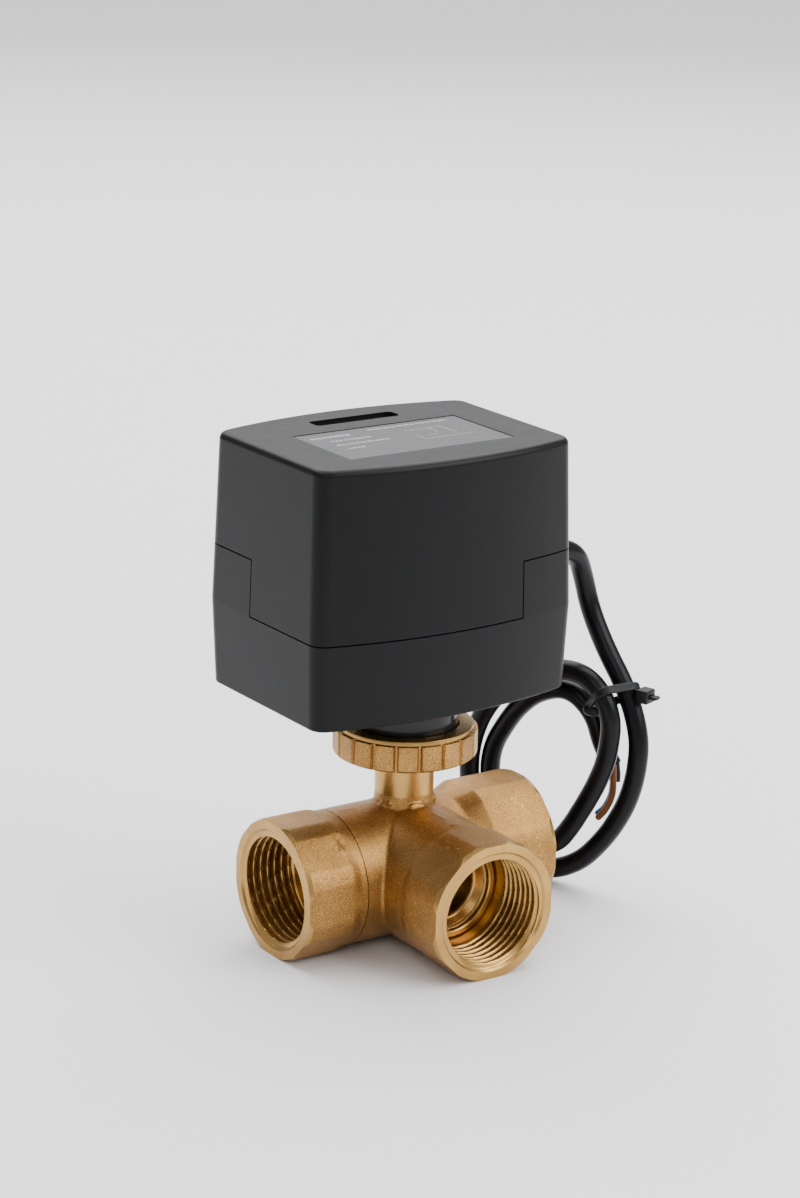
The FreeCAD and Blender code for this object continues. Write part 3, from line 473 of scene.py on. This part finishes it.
# ---- the cable -------------------------------------------------------------------------------
CABLE_R = 3.0
LEAD_ROUTE = (
    (32.0, 0.0, 86.0),
    (50.4, 0.2, 86.0),
    (59.4, 1.4, 83.0),
    (64.0, 3.6, 74.6),
    (65.9, 2.4, 65.0),
    (67.4, -3.8, 54.2),
    (69.6, -12.0, 43.2),
    (70.6, -17.0, 31.6),
)
COIL_CENTRE = Vector((57.5, 5.5, 14.8))
COIL_TURN = math.radians(24.9)
COIL_ALONG = Vector((-math.sin(COIL_TURN), math.cos(COIL_TURN), 0))
COIL_NORMAL = Vector((math.cos(COIL_TURN), math.sin(COIL_TURN), 0))
# two turns: angle in the coil's plane, radius, and stand-off along the plane's normal
COIL_KEYS = (
    (155, 29.3, 1.5), (172, 26.6, 1.0), (191, 24.6, 0.5), (214, 23.9, 0.0), (238, 25.6, 0.0),
    (263, 30.2, 0.0), (290, 32.0, -0.5), (325, 30.6, -1.2), (360, 28.2, -1.6), (395, 28.0, -2.2),
    (430, 31.0, -2.8), (454, 34.0, -3.0), (472, 35.6, -3.2), (489, 31.4, -3.4), (512, 21.9, -3.6),
    (534, 16.4, -3.6), (568, 13.8, -3.6), (602, 16.4, -3.4), (626, 22.0, -2.6), (655, 24.6, -1.0),
    (690, 24.0, 0.8), (722, 22.4, 1.2), (760, 21.0, 0.8), (793, 24.6, 0.2), (822, 27.6, 0.0),
    (841, 23.6, 1.0), (861, 17.8, 2.6), (884, 17.9, 3.2),
)
COIL_STEP = 22.0
LEAD_IN = 8


def coil_point(angle, radius, off):
    """A point on the coil, from its angle, radius and stand-off."""
    turn = math.radians(angle)
    flat = COIL_ALONG * (radius * math.cos(turn)) + Z * (radius * math.sin(turn))
    return COIL_CENTRE + flat + COIL_NORMAL * off


def between_keys(angle, column):
    """A smooth curve through one column of COIL_KEYS."""
    keys = COIL_KEYS
    i = max(k for k in range(len(keys) - 1) if keys[k][0] <= angle or k == 0)
    i = min(i, len(keys) - 2)
    a = keys[max(i - 1, 0)]
    b = keys[i]
    c = keys[i + 1]
    d = keys[min(i + 2, len(keys) - 1)]
    span = c[0] - b[0]
    t = (angle - b[0]) / span
    slope_b = (c[column] - a[column]) / max(c[0] - a[0], 1) * span
    slope_c = (d[column] - b[column]) / max(d[0] - b[0], 1) * span
    h00 = 2 * t ** 3 - 3 * t ** 2 + 1
    h10 = t ** 3 - 2 * t ** 2 + t
    return h00 * b[column] + h10 * slope_b + (1 - h00) * c[column] + (t ** 3 - t ** 2) * slope_c


def cable_points():
    """The lead's points, then the coil's turns every COIL_STEP degrees."""
    points = [Vector(p) for p in LEAD_ROUTE]
    first, last = COIL_KEYS[0][0] + LEAD_IN, COIL_KEYS[-1][0]
    steps = round((last - first) / COIL_STEP)
    for k in range(steps + 1):
        angle = first + (last - first) * k / steps
        points.append(coil_point(angle, between_keys(angle, 1), between_keys(angle, 2)))
    return points


def nurbs_cable(name, points, radius, material):
    """Round cable on one smooth spline through the given control points."""
    curve = bpy.data.curves.new(name, "CURVE")
    curve.dimensions = "3D"
    spline = curve.splines.new("NURBS")
    spline.points.add(len(points) - 1)
    for target, point in zip(spline.points, points):
        target.co = (*to_row(point), 1)
    spline.order_u = 3
    spline.use_endpoint_u = True
    spline.resolution_u = 10
    curve.bevel_depth = radius * MM
    curve.bevel_resolution = 8
    curve.use_fill_caps = True
    curve.materials.append(material)
    obj = bpy.data.objects.new(name, curve)
    bpy.context.scene.collection.objects.link(obj)
    return obj


def centreline(obj):
    """Points along a curve object's own line, in millimetres about the ball's centre."""
    bare = obj.copy()
    bare.data = obj.data.copy()
    bare.data.bevel_depth = 0
    bpy.context.scene.collection.objects.link(bare)
    bpy.context.view_layer.update()
    graph = bpy.context.evaluated_depsgraph_get()
    mesh = bpy.data.meshes.new_from_object(bare.evaluated_get(graph))
    line = [(Vector(v.co) - BALL_CENTRE) / MM for v in mesh.vertices]
    bpy.data.objects.remove(bare)
    return line


def line_length(line):
    return sum((b - a).length for a, b in zip(line, line[1:]))


cable = nurbs_cable("cable", cable_points(), CABLE_R, SHEATH)
CABLE_LENGTH = line_length(centreline(cable))
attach(cable, "housing")
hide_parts("cable_lead", "cable_coil")


# ---- the brass valve -------------------------------------------------------------------------
def octagon_outline(corner_r, columns=96):
    """Octagon with flats up and down, its corners turned off at corner_r."""
    outline = []
    for j in range(columns):
        angle = 2 * math.pi * j / columns
        from_flat = (angle + math.pi / 8) % (math.pi / 4) - math.pi / 8
        radius = min(HALF_FLATS / math.cos(from_flat), corner_r)
        outline.append((radius * math.cos(angle), radius * math.sin(angle)))
    return outline


def port_blank(reach, axis, length=OCTAGON_LENGTH, slope=2.6, foot_r=BARREL_R - 0.1, extra=1.5):
    """Octagonal end, a little long, with a sloping shoulder on to the round barrel."""
    side, up, along = axis_frame(axis)
    points = []
    start = reach - length
    stations = ((start - slope, foot_r), (start + 0.4, CORNER_R), (reach + extra, CORNER_R))
    for station, corner_r in stations:
        for a, b in octagon_outline(corner_r):
            shrink = min(1.0, corner_r / math.hypot(a, b))
            points.append(along * station + side * (a * shrink) + up * (b * shrink))
    return mesh_from(points, tube_grid(len(stations), 96))


def forging(blanks, voxel=0.42, rounds=5):
    """One skin over overlapping blanks, its edges and inner corners softened."""
    skin = with_modifiers(
        joined(blanks),
        ("REMESH", {"mode": "VOXEL", "voxel_size": voxel}),
        ("SMOOTH", {"factor": 0.5, "iterations": rounds}),
    )
    count = len(skin.vertices)
    places = np.empty(count * 3)
    normals = np.empty(count * 3)
    skin.vertices.foreach_get("co", places)
    skin.vertex_normals.foreach_get("vector", normals)
    places = places.reshape(-1, 3)
    waves = [noise.noise(Vector(p) * 0.22) * 0.035 + noise.noise(Vector(p) * 0.6) * 0.018 - 0.04
             for p in places]
    places += normals.reshape(-1, 3) * np.array(waves)[:, None]
    skin.vertices.foreach_set("co", places.ravel())
    skin.update()
    return dressed(skin, (FORGED, TURNED), 0)


def thread_radius(angle, depth):
    """Rounded 55-degree thread; it fades out over the last turn."""
    phase = (depth / THREAD_PITCH - angle / (2 * math.pi)) % 1.0
    tooth = 1 - abs(2 * phase - 1)
    tooth = min(1.0, max(0.0, (tooth - 0.26) / 0.62))
    tooth = tooth * tooth * (3 - 2 * tooth) * 0.35 + tooth * 0.65
    run_out = min(1.0, max(0.0, (THREAD_RUN - depth) / 1.8))
    return THREAD_MINOR_R + (THREAD_MAJOR_R - THREAD_MINOR_R) * tooth * run_out


def port_drill(reach, axis):
    """Tool for a port's mouth: lead-in bevel, then a plain bore that the thread lines."""
    wide = THREAD_MAJOR_R + 0.12
    profile = [(reach - THREAD_DEPTH, wide), (reach - ENTRY_R + wide, wide), (reach, ENTRY_R),
               (reach + 1.5, ENTRY_R + 1.5)]
    return lathe(profile, axis, 160)


def thread_lining(reach, axis, columns=176):
    """Rolled thread as a thin ring inside the drilled mouth."""
    side, up, along = axis_frame(axis)
    first = ENTRY_R - THREAD_MAJOR_R - 0.10
    inner = [(depth, None) for depth in np.arange(THREAD_DEPTH - 0.02, first, -0.12)]
    back_r = THREAD_MAJOR_R + 0.5
    rows = inner + [(first, None), (first, back_r), (THREAD_DEPTH - 0.02, back_r)]
    points = []
    for depth, wall in rows:
        for j in range(columns):
            angle = 2 * math.pi * j / columns
            radius = wall or thread_radius(angle, depth)
            points.append(along * (reach - depth) + side * (radius * math.cos(angle))
                          + up * (radius * math.sin(angle)))
    faces = tube_grid(len(rows), columns, wrap_ends=False)
    last = (len(rows) - 1) * columns
    faces += [(last + j, last + (j + 1) % columns, (j + 1) % columns, j) for j in range(columns)]
    return dressed(mesh_from(points, [tuple(reversed(f)) for f in faces]), (FORGED, TURNED), 1)


def bevel_tool(reach, axis):
    """Turns the bevel round a port's face."""
    depth, length = FACE_BEVEL
    face_r = CORNER_R - depth
    return ring_lathe([(reach - length, CORNER_R), (reach - length, 30.0), (reach + 1.0, 30.0),
                       (reach + 1.0, face_r - depth / length)], axis, 96)


def cylinder(radius, low, high, axis=Z, columns=128):
    return lathe([(low, radius), (high, radius)], axis, columns)


def slab_past(reach, axis, span=60.0):
    """Block past a plane, to face a port off flat."""
    side, up, along = axis_frame(axis)
    corners = ((-span, -span), (span, -span), (span, span), (-span, span))
    points = [along * s + side * a + up * b for s in (reach, reach + 20) for a, b in corners]
    return mesh_from(points, tube_grid(2, 4))


def capsule(start, end, radius):
    """Short rounded bead between two points."""
    start, end = Vector(start), Vector(end)
    along = (end - start).normalized()
    length = (end - start).length
    side = along.cross(Z if abs(along.z) < 0.9 else X).normalized()
    up = along.cross(side)
    rows = [(-0.99, 0.15), (-0.7, 0.7), (0, 1), (0, 1), (0.7, 0.7), (0.99, 0.15)]
    points = []
    for i, (offset, share) in enumerate(rows):
        at = start + along * (offset * radius + (length if i > 2 else 0))
        for j in range(12):
            turn = 2 * math.pi * j / 12
            points.append(at + (side * math.cos(turn) + up * math.sin(turn)) * radius * share)
    mesh = mesh_from(points, tube_grid(len(rows), 12))
    shell = bmesh.new()
    shell.from_mesh(mesh)
    bmesh.ops.recalc_face_normals(shell, faces=shell.faces)
    shell.to_mesh(mesh)
    shell.free()
    return mesh


def forging_marks():
    """Flash nibs round the neck's foot and short parting lines on the arms."""
    return [
        capsule((-8.8, -2.0, 20.0), (-7.8, -4.4, 20.2), 0.6),
        capsule((-3.4, -8.6, 20.1), (0.6, -9.0, 19.9), 0.5),
        capsule((6.0, -6.4, 20.3), (8.0, -3.2, 20.2), 0.55),
        capsule((0.0, -15.5, 19.0), (0.0, -20.5, 19.0), 0.62),
        capsule((-17.5, 0.0, 19.0), (-21.5, 0.0, 19.0), 0.6),
        capsule((-1.1, -25.8, 19.4), (5.0, -26.5, 18.9), 0.5),
        capsule((34.6, -19.4, 1.4), (35.4, -19.4, 1.4), 0.55),
        capsule((35.0, -19.4, -0.3), (35.5, -19.4, -0.3), 0.5),
    ]


def valve_body():
    """The T: octagonal right and branch ports, a seam face on the left and the neck."""
    ridge = [(25.8, 19.1), (26.1, 19.5), (26.5, 19.5), (26.8, 19.1), (26.8, 17.0), (25.8, 17.0)]
    mesh = forging([
        cylinder(BARREL_R, -SEAM_REACH - 2, 9.0, X, 96),
        cylinder(WAIST_R, 5.0, RIGHT_REACH - RIGHT_OCTAGON, X, 96),
        cylinder(BARREL_R, 0, BRANCH_REACH - OCTAGON_LENGTH + 1, -Y, 96),
        port_blank(RIGHT_REACH, X, RIGHT_OCTAGON, 5.4, WAIST_R),
        port_blank(BRANCH_REACH, -Y),
        ring_lathe(ridge, -Y, 96),
        lathe([(10, 8.9), (19.2, 8.7), (20.2, 8.45), (30, 8.4)], Z, 64),
        *forging_marks(),
    ])
    groove_low, groove_high = 36.8, 38.12
    tools = [
        slab_past(RIGHT_REACH, X),
        slab_past(BRANCH_REACH, -Y),
        slab_past(SEAM_REACH, -X),
        bevel_tool(RIGHT_REACH, X),
        bevel_tool(BRANCH_REACH, -Y),
        port_drill(RIGHT_REACH, X),
        port_drill(BRANCH_REACH, -Y),
        cylinder(FLOW_R, 0, RIGHT_REACH - THREAD_DEPTH + 0.5, X),
        cylinder(CONNECTOR_R + SEAM_SLACK, SPIGOT_INNER, SEAM_REACH + 1, -X),
        cylinder(BALL_ROOM_R, -SEAM_REACH, 15.2, X),
        cylinder(SEAT_POCKET_R, 0, 16.2, X),
        cylinder(RETAINER_R, 8.0, BRANCH_REACH - THREAD_DEPTH + 0.5, -Y),
        ring_lathe([(NECK_FOOT, NECK_R), (NECK_FOOT, 14), (34, 14), (34, NECK_R)]),
    ]
    for tool in tools:
        mesh = combine(mesh, tool)
    neck = lathe([
        (NECK_FOOT - 0.4, NECK_R - 0.3), (NECK_FOOT - 0.39, NECK_R), (groove_low, NECK_R),
        (groove_low + 0.01, NECK_GROOVE_R), (groove_high, NECK_GROOVE_R),
        (groove_high + 0.01, NECK_R), (NECK_TOP - 0.5, NECK_R), (NECK_TOP, NECK_R - 0.5),
    ])
    mesh = combine(mesh, neck, "UNION")
    mesh = combine(mesh, cylinder(STEM_BORE_R, 10, NECK_TOP + 1, Z, 64))
    mesh = combine(mesh, cylinder(STEM_FLANGE_R, 10, 17.7, Z, 64))
    mesh = joined([mesh, thread_lining(RIGHT_REACH, X), thread_lining(BRANCH_REACH, -Y)])
    obj = new_object("valve_body_forging", mesh, FORGED, TURNED)
    return finish_piece(obj, "housing", "brass_forged", "valve_body", degrees=28)


def run_port_connector():
    """Left end piece, whose spigot closes the ball's room."""
    mesh = forging([
        cylinder(BARREL_R, SEAM_REACH - 2, RUN_REACH - OCTAGON_LENGTH + 1, -X, 96),
        port_blank(RUN_REACH, -X),
        capsule((-30.6, -10.0, 16.9), (-29.6, -14.2, 13.6), 0.45),
    ])
    gap = SEAM_REACH + SEAM_GAP
    tools = [
        slab_past(RUN_REACH, -X),
        bevel_tool(RUN_REACH, -X),
        ring_lathe([(gap - 8, CONNECTOR_R), (gap - 8, 30), (gap, 30), (gap, CONNECTOR_R)], -X),
        slab_past(-SPIGOT_INNER, X),
        port_drill(RUN_REACH, -X),
        cylinder(FLOW_R, 0, RUN_REACH - THREAD_DEPTH + 0.5, -X),
        cylinder(SEAT_POCKET_R, 0, 18.0, -X),
    ]
    for tool in tools:
        mesh = combine(mesh, tool)
    mesh = joined([mesh, thread_lining(RUN_REACH, -X)])
    obj = new_object("run_port_connector_forging", mesh, FORGED, TURNED)
    return finish_piece(obj, "housing", "brass_forged", "run_port_connector", degrees=28)


def branch_seat_retainer():
    """Turned ring with a stepped bore, seen down the branch."""
    mouth = BRANCH_REACH - THREAD_DEPTH - 1.6
    profile = [
        (16.3, 9.3), (16.3, 14.5), (mouth - 0.4, 14.5), (mouth, 14.1), (mouth, 12.9),
        (mouth - 0.25, 12.55), (mouth - 1.5, 12.4), (mouth - 1.6, 12.2), (mouth - 1.7, 11.5),
        (mouth - 1.9, 11.25), (mouth - 3.3, 10.2), (mouth - 3.5, 9.9), (mouth - 3.6, 9.5),
        (mouth - 3.9, 9.25),
    ]
    obj = new_object("branch_seat_retainer_turned", ring_lathe(profile, -Y, 128), TURNED)
    return finish_piece(obj, "housing", "brass_turned", "branch_seat_retainer", degrees=30)


valve_body()
run_port_connector()
branch_seat_retainer()


# ---- coupling nut ----------------------------------------------------------------------------
def notch_radius(angle, radius):
    """Outer wall of the nut: flat-bottomed notches with rounded lips."""
    if radius < 15.5:
        return radius
    first = math.radians(-98.0 - 90.0)
    pitch = 2 * math.pi / NOTCHES
    off = abs((angle - first + pitch / 2) % pitch - pitch / 2)
    inner, outer = math.radians(0.7), math.radians(2.3)
    share = min(1.0, max(0.0, (off - inner) / (outer - inner)))
    share = share * share * (3 - 2 * share)
    flat = NUT_R * math.cos(pitch / 2 - outer) / math.cos(max(0.0, pitch / 2 - off))
    return min(radius, min(flat, NUT_R) - NOTCH_DEPTH * (1 - share))


def coupling_nut():
    """Notched nut with a turned lip and a smooth top."""
    low, top, land = NUT_LOW.z, NUT_HIGH.z, NUT_R
    profile = [
        (low, 8.6), (low, land - 1.1), (low + 0.12, land - 0.75), (low + 0.7, land - 0.12),
        (low + 1.0, land), (top - 1.5, land), (top - 1.28, land - 0.12), (top - 1.2, land - 0.4),
        (top - 1.18, NUT_LIP_R + 0.05), (top - 1.0, NUT_LIP_R), (top - 0.3, NUT_LIP_R),
        (top - 0.08, NUT_LIP_R - 0.1), (top, NUT_LIP_R - 0.4), (top, 15.4), (top - 0.4, 14.98),
        (36.4, 14.98), (36.0, 14.6), (36.0, 8.9), (low + 0.4, 8.45),
    ]
    mesh = ring_lathe(profile, Z, NOTCHES * 26, notch_radius)
    obj = new_object("coupling_nut_rim", mesh, FORGED, TURNED)
    for face in mesh.polygons:
        centre = Vector(face.center)
        wall = math.hypot(centre.x, centre.y)
        face.material_index = 1 if centre.z > top - 1.25 or wall < 15.2 else 0
    return finish_piece(obj, "nut", "brass_turned", "coupling_nut", degrees=30)


coupling_nut()


# ---- tie, bare end and strain relief ---------------------------------------------------------
def tie():
    """Nylon tie drawn round the three strands, with its head, tail and a folded end."""
    strands = (Vector((69.5, -12.2, 43.0)), Vector((61.8, -11.9, 43.2)), Vector((63.2, -6.0, 37.8)))
    plane = (strands[1] - strands[0]).cross(strands[2] - strands[0]).normalized()
    if plane.z < 0:
        plane = -plane
    east = (strands[0] - strands[1]).normalized()
    north = plane.cross(east)
    middle = sum(strands, Vector()) / 3
    rows = []
    turns = 120
    for k in range(turns):
        turn = 2 * math.pi * k / turns
        out = east * math.cos(turn) + north * math.sin(turn)
        widest = max(strands, key=lambda strand: (strand - middle).dot(out))
        tooth = 0.10 if k % 2 else 0.0
        rows.append([widest + out * (3.12 + depth) + plane * rise
                     for depth, rise in ((0.0, -1.2), (0.75, -1.2), (0.9, -0.9), (0.82 - tooth, 0.0),
                                         (0.9, 0.9), (0.75, 1.2), (0.0, 1.2))])
    count = len(rows[0])
    points = [p for row in rows for p in row]
    faces = [(i * count + j, i * count + (j + 1) % count, (i + 1) % turns * count + (j + 1) % count,
              (i + 1) % turns * count + j) for i in range(turns) for j in range(count)]
    out = Vector((0.35, -0.937, 0.0))
    across = Z.cross(out)
    head = box_mesh((-2.0, -2.4, -2.0), (2.0, 2.4, 2.0))
    head = with_modifiers(head, ("BEVEL", {"width": 0.5, "segments": 3}))
    slot = box_mesh((1.2, -1.5, -0.6), (2.6, 1.5, 0.6))
    head = with_modifiers(combine(head, slot))
    tail = box_mesh((1.4, -1.25, -0.5), (4.3, 1.25, 0.45))
    tail = with_modifiers(tail, ("BEVEL", {"width": 0.2, "segments": 2}))
    frame_of_head = Matrix((out, across, Z)).transposed().to_4x4()
    at = Matrix.Translation(strands[0] + out * 6.1) @ frame_of_head
    head.transform(at)
    tail.transform(at)
    fold = capsule((59.6, -6.9, 37.6), (60.9, -8.6, 37.2), 1.7)
    mesh = dressed(joined([mesh_from(points, faces), head, tail, fold]), (TIE,), 0)
    obj = new_object("cable_tie_nylon", mesh, TIE)
    return finish_piece(obj, "housing", "tie_black", "cable_tie", degrees=35)


CORE_R = 1.0
CORE_ROUTES = {
    "brown": ((67.6, -9.2, 21.0), (67.8, -9.5, 17.0), (67.2, -10.2, 11.2), (65.6, -9.4, 6.6),
              (64.3, -7.2, 3.2)),
    "blue": ((68.5, -7.8, 21.0), (68.7, -8.1, 17.0), (68.0, -8.9, 11.4), (66.4, -8.1, 6.8),
             (65.0, -6.0, 4.0)),
    "black": ((69.2, -8.8, 21.0), (69.4, -9.0, 18.6), (69.5, -9.2, 17.0), (69.4, -9.4, 15.6),
              (69.2, -9.6, 14.4)),
}


def swept(route, radius, columns=20, steps=9):
    """Round rod along a smooth curve through the route's points, with rounded ends."""
    knots = [Vector(p) for p in route]
    knots = [knots[0] * 2 - knots[1]] + knots + [knots[-1] * 2 - knots[-2]]
    line = []
    for a, b, c, d in zip(knots, knots[1:], knots[2:], knots[3:]):
        for k in range(steps):
            t = k / steps
            line.append(b + (c - a) * (t / 2) + (a - b * 2.5 + c * 2 - d * 0.5) * t * t
                        + (b * 1.5 - c * 1.5 + d * 0.5 - a * 0.5) * t ** 3)
    line.append(knots[-2])
    points = []
    for i, at in enumerate(line):
        along = (line[min(i + 1, len(line) - 1)] - line[max(i - 1, 0)]).normalized()
        side = along.cross(Y).normalized()
        up = along.cross(side)
        r = radius * (0.82 if i in (0, len(line) - 1) else 1.0)
        for j in range(columns):
            turn = 2 * math.pi * j / columns
            points.append(at + (side * math.cos(turn) + up * math.sin(turn)) * r)
    return mesh_from(points, tube_grid(len(line), columns))


def bare_end():
    """Three insulated cores that hang out of the cut jacket."""
    colours = {
        "brown": (0.17, 0.06, 0.022),
        "blue": (0.03, 0.09, 0.30),
        "black": (0.014, 0.014, 0.015),
    }
    materials = [gloss_plastic("core_" + name, colours[name], 0.3) for name in CORE_ROUTES]
    mesh = joined([dressed(swept(route, CORE_R), materials, k)
                   for k, route in enumerate(CORE_ROUTES.values())])
    obj = new_object("bare_cores", mesh, *materials)
    return finish_piece(obj, "housing", "core_insulation", "cable_cores", degrees=40)


def strain_relief():
    """Rubber gland: a flange against the case, then a ribbed cone down to the cable."""
    low, high = node_box("cable_gland")
    root_r = (high.z - low.z) / 2 - 0.05
    middle = (low.z + high.z) / 2
    start, end = low.x + 0.3, high.x - 0.05
    reach = end - start
    profile = [
        (start, CABLE_R + 0.05), (start, root_r * 0.72), (start + reach * 0.12, root_r * 0.72),
        (start + reach * 0.13, root_r * 0.97), (start + reach * 0.15, root_r),
        (start + reach * 0.24, root_r), (start + reach * 0.26, root_r * 0.96),
    ]
    ribs = 6
    for k in range(ribs):
        at = start + reach * (0.28 + 0.68 * k / ribs)
        r = root_r * 0.86 + (CABLE_R + 0.7 - root_r * 0.86) * k / ribs
        step = reach * 0.68 / ribs
        profile += [(at, r * 0.93), (at + step * 0.2, r), (at + step * 0.6, r),
                    (at + step * 0.8, r * 0.93)]
    profile += [(end - 0.2, CABLE_R + 0.65), (end, CABLE_R + 0.45), (end, CABLE_R + 0.05)]
    mesh = ring_lathe(profile, X, 72)
    mesh.transform(Matrix.Translation(Vector((0, (low.y + high.y) / 2, middle))))
    obj = new_object("strain_relief", mesh, RUBBER)
    return finish_piece(obj, "housing", "cable_rubber", "cable_gland", degrees=35)


tie()
bare_end()
strain_relief()


# ---- label marks -----------------------------------------------------------------------------
def label_marks():
    """Plain printed dashes and a small wiring sketch, with nothing to read."""
    low, high = LABEL_LOW, LABEL_HIGH
    length, width, top = high.x - low.x, high.y - low.y, high.z
    dice = random.Random(4)
    bars = []

    def bar(x0, y0, x1, y1):
        bars.append(box_mesh((low.x + x0, low.y + y0, top - 0.02),
                             (low.x + x1, low.y + y1, top + 0.02)))

    lines = ((0.05, 0.24, 0.055), (0.12, 0.22, 0.035), (0.10, 0.30, 0.035), (0.12, 0.10, 0.035))
    for row, (start, reach, height) in enumerate(lines):
        x = length * start
        y = width * (0.80 - 0.15 * row)
        while x < length * (start + reach):
            dash = dice.uniform(0.5, 1.6)
            bar(x, y, x + dash, y + width * height)
            x += dash + 0.45
    x = length * 0.42
    while x < length * 0.90:
        dash = dice.uniform(0.6, 2.0)
        bar(x, width * 0.88, x + dash, width * 0.915)
        x += dash + 0.4
    sketch = (
        (0.58, 0.34, 0.88, 0.35), (0.58, 0.70, 0.80, 0.71), (0.58, 0.34, 0.585, 0.52),
        (0.72, 0.52, 0.725, 0.70), (0.80, 0.40, 0.805, 0.71), (0.64, 0.46, 0.70, 0.47),
    )
    for x0, y0, x1, y1 in sketch:
        bar(length * x0, width * y0, length * x1, width * y1)
    ink = matte_plastic("label_ink", (0.30, 0.30, 0.31), 0.5)
    obj = new_object("label_marks", joined(bars), ink)
    return finish_piece(obj, "housing", "label_grey")


label_marks()


# ---- carried-over CAD nodes ------------------------------------------------------------------
def paint(material, *nodes):
    """Gives CAD nodes that stay in view their finish."""
    for name in nodes:
        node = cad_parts[name]
        node.data.materials.clear()
        node.data.materials.append(material)


STEEL = steel("turned_steel")
PLATE = steel("plate_steel", (0.60, 0.60, 0.62), 0.36, (1, 8, 1))
DULL_BRASS = steel("ball_brass", (0.42, 0.26, 0.10), 0.30)
paint(CASE, "base_shell", "cover_shell")
paint(GLOSS, "mounting_spigot")
paint(matte_plastic("label_foil", (0.028, 0.028, 0.031), 0.34), "label_plate")
paint(gloss_plastic("smoked_lens", (0.008, 0.008, 0.009), 0.08), "window_lens")
paint(TURNED, "shaft_bush", "gear_pillars", "board_posts", "motor_pinion")
paint(DULL_BRASS, "ball")
paint(matte_plastic("ptfe", (0.80, 0.80, 0.77), 0.45), "seat_left", "seat_right", "seat_branch",
      "stem_thrust_washer")
paint(STEEL, "stem", "neck_retaining_ring", "nut_slip_washer", "idler_axle", "motor_shaft",
      "switch_lever_lower", "switch_lever_upper", "output_shaft", "case_screws", "plate_screws",
      "motor_screws", "switch_screws")
paint(RUBBER, "stem_o_rings")
paint(PLATE, "lower_gear_plate", "upper_gear_plate", "gear_motor")
paint(matte_plastic("acetal", (0.78, 0.77, 0.72), 0.38), "output_gear", "idler_gear", "cam_lower",
      "cam_upper", "position_disc")
paint(matte_plastic("switch_black", (0.03, 0.03, 0.033), 0.4), "microswitch_lower", "microswitch_upper")
paint(matte_plastic("insulator", (0.62, 0.58, 0.46), 0.6), "switch_spacers")
paint(matte_plastic("board_lacquer", (0.02, 0.15, 0.06), 0.3), "circuit_board")
paint(matte_plastic("terminal_green", (0.05, 0.28, 0.11), 0.45), "terminal_block")
paint(matte_plastic("capacitor_yellow", (0.66, 0.44, 0.05), 0.4), "board_capacitor")
paint(matte_plastic("relay_blue", (0.03, 0.12, 0.38), 0.35), "board_relay")
paint(gloss_plastic("wire_brown", (0.16, 0.055, 0.022), 0.3), "lead_wires")


# ---- stage -----------------------------------------------------------------------------------
def make_stage():
    """Pale floor that sweeps up into a backdrop, under an even sky."""
    r = Recipe("stage", (0.80, 0.80, 0.81), 0.75)
    r.colour(r.mix(r.noise(0.002, 2), (0.79, 0.79, 0.80), (0.81, 0.81, 0.82)))
    level = to_row((0, 0, FLOOR)).z
    bend_start, bend = 2.2, 1.2
    rows = [(-3.0, level), (bend_start, level)]
    for k in range(1, 13):
        turn = math.pi / 2 * k / 12
        rows.append((bend_start + bend * math.sin(turn), level + bend * (1 - math.cos(turn))))
    rows.append((bend_start + bend, level + 4.5))
    points = [(x, y, z) for y, z in rows for x in (-4.0, 4.0)]
    faces = [(i, i + 1, i + 3, i + 2) for i in range(0, 2 * len(rows) - 2, 2)]
    mesh = mesh_from(points, faces)
    turn = Matrix.Rotation(math.radians(-34), 4, "Z")
    mesh.transform(turn)
    floor = new_object("stage_floor", mesh, r.material)
    smooth(mesh, 60)

    world = bpy.data.worlds.new("sky")
    world.use_nodes = True
    world.node_tree.nodes["Background"].inputs["Color"].default_value = (0.95, 0.97, 1.0, 1)
    world.node_tree.nodes["Background"].inputs["Strength"].default_value = 0.42
    bpy.context.scene.world = world


def soft_light(name, azimuth, elevation, distance, size, power):
    """Area light aimed at the valve from a direction in degrees about it."""
    data = bpy.data.lights.new(name, "AREA")
    data.shape = "RECTANGLE"
    data.size, data.size_y = size
    data.energy = power
    light = bpy.data.objects.new(name, data)
    bpy.context.scene.collection.objects.link(light)
    a, e = math.radians(azimuth), math.radians(elevation)
    aim = to_row((0, 0, 50))
    away = Vector((math.sin(a) * math.cos(e), -math.cos(a) * math.cos(e), math.sin(e)))
    light.location = aim + away * distance
    light.rotation_euler = away.to_track_quat("Z", "Y").to_euler()


make_stage()
soft_light("panel_top", 150, 74, 2.3, (3.2, 2.6), 138)
soft_light("panel_back", 150, 38, 1.7, (2.2, 1.0), 17)
soft_light("panel_left", -75, 45, 1.3, (0.5, 0.7), 0.8)
soft_light("panel_front", 36, 34, 1.4, (1.1, 0.9), 19)
soft_light("panel_camera", -38, 34, 1.6, (0.8, 0.6), 4)
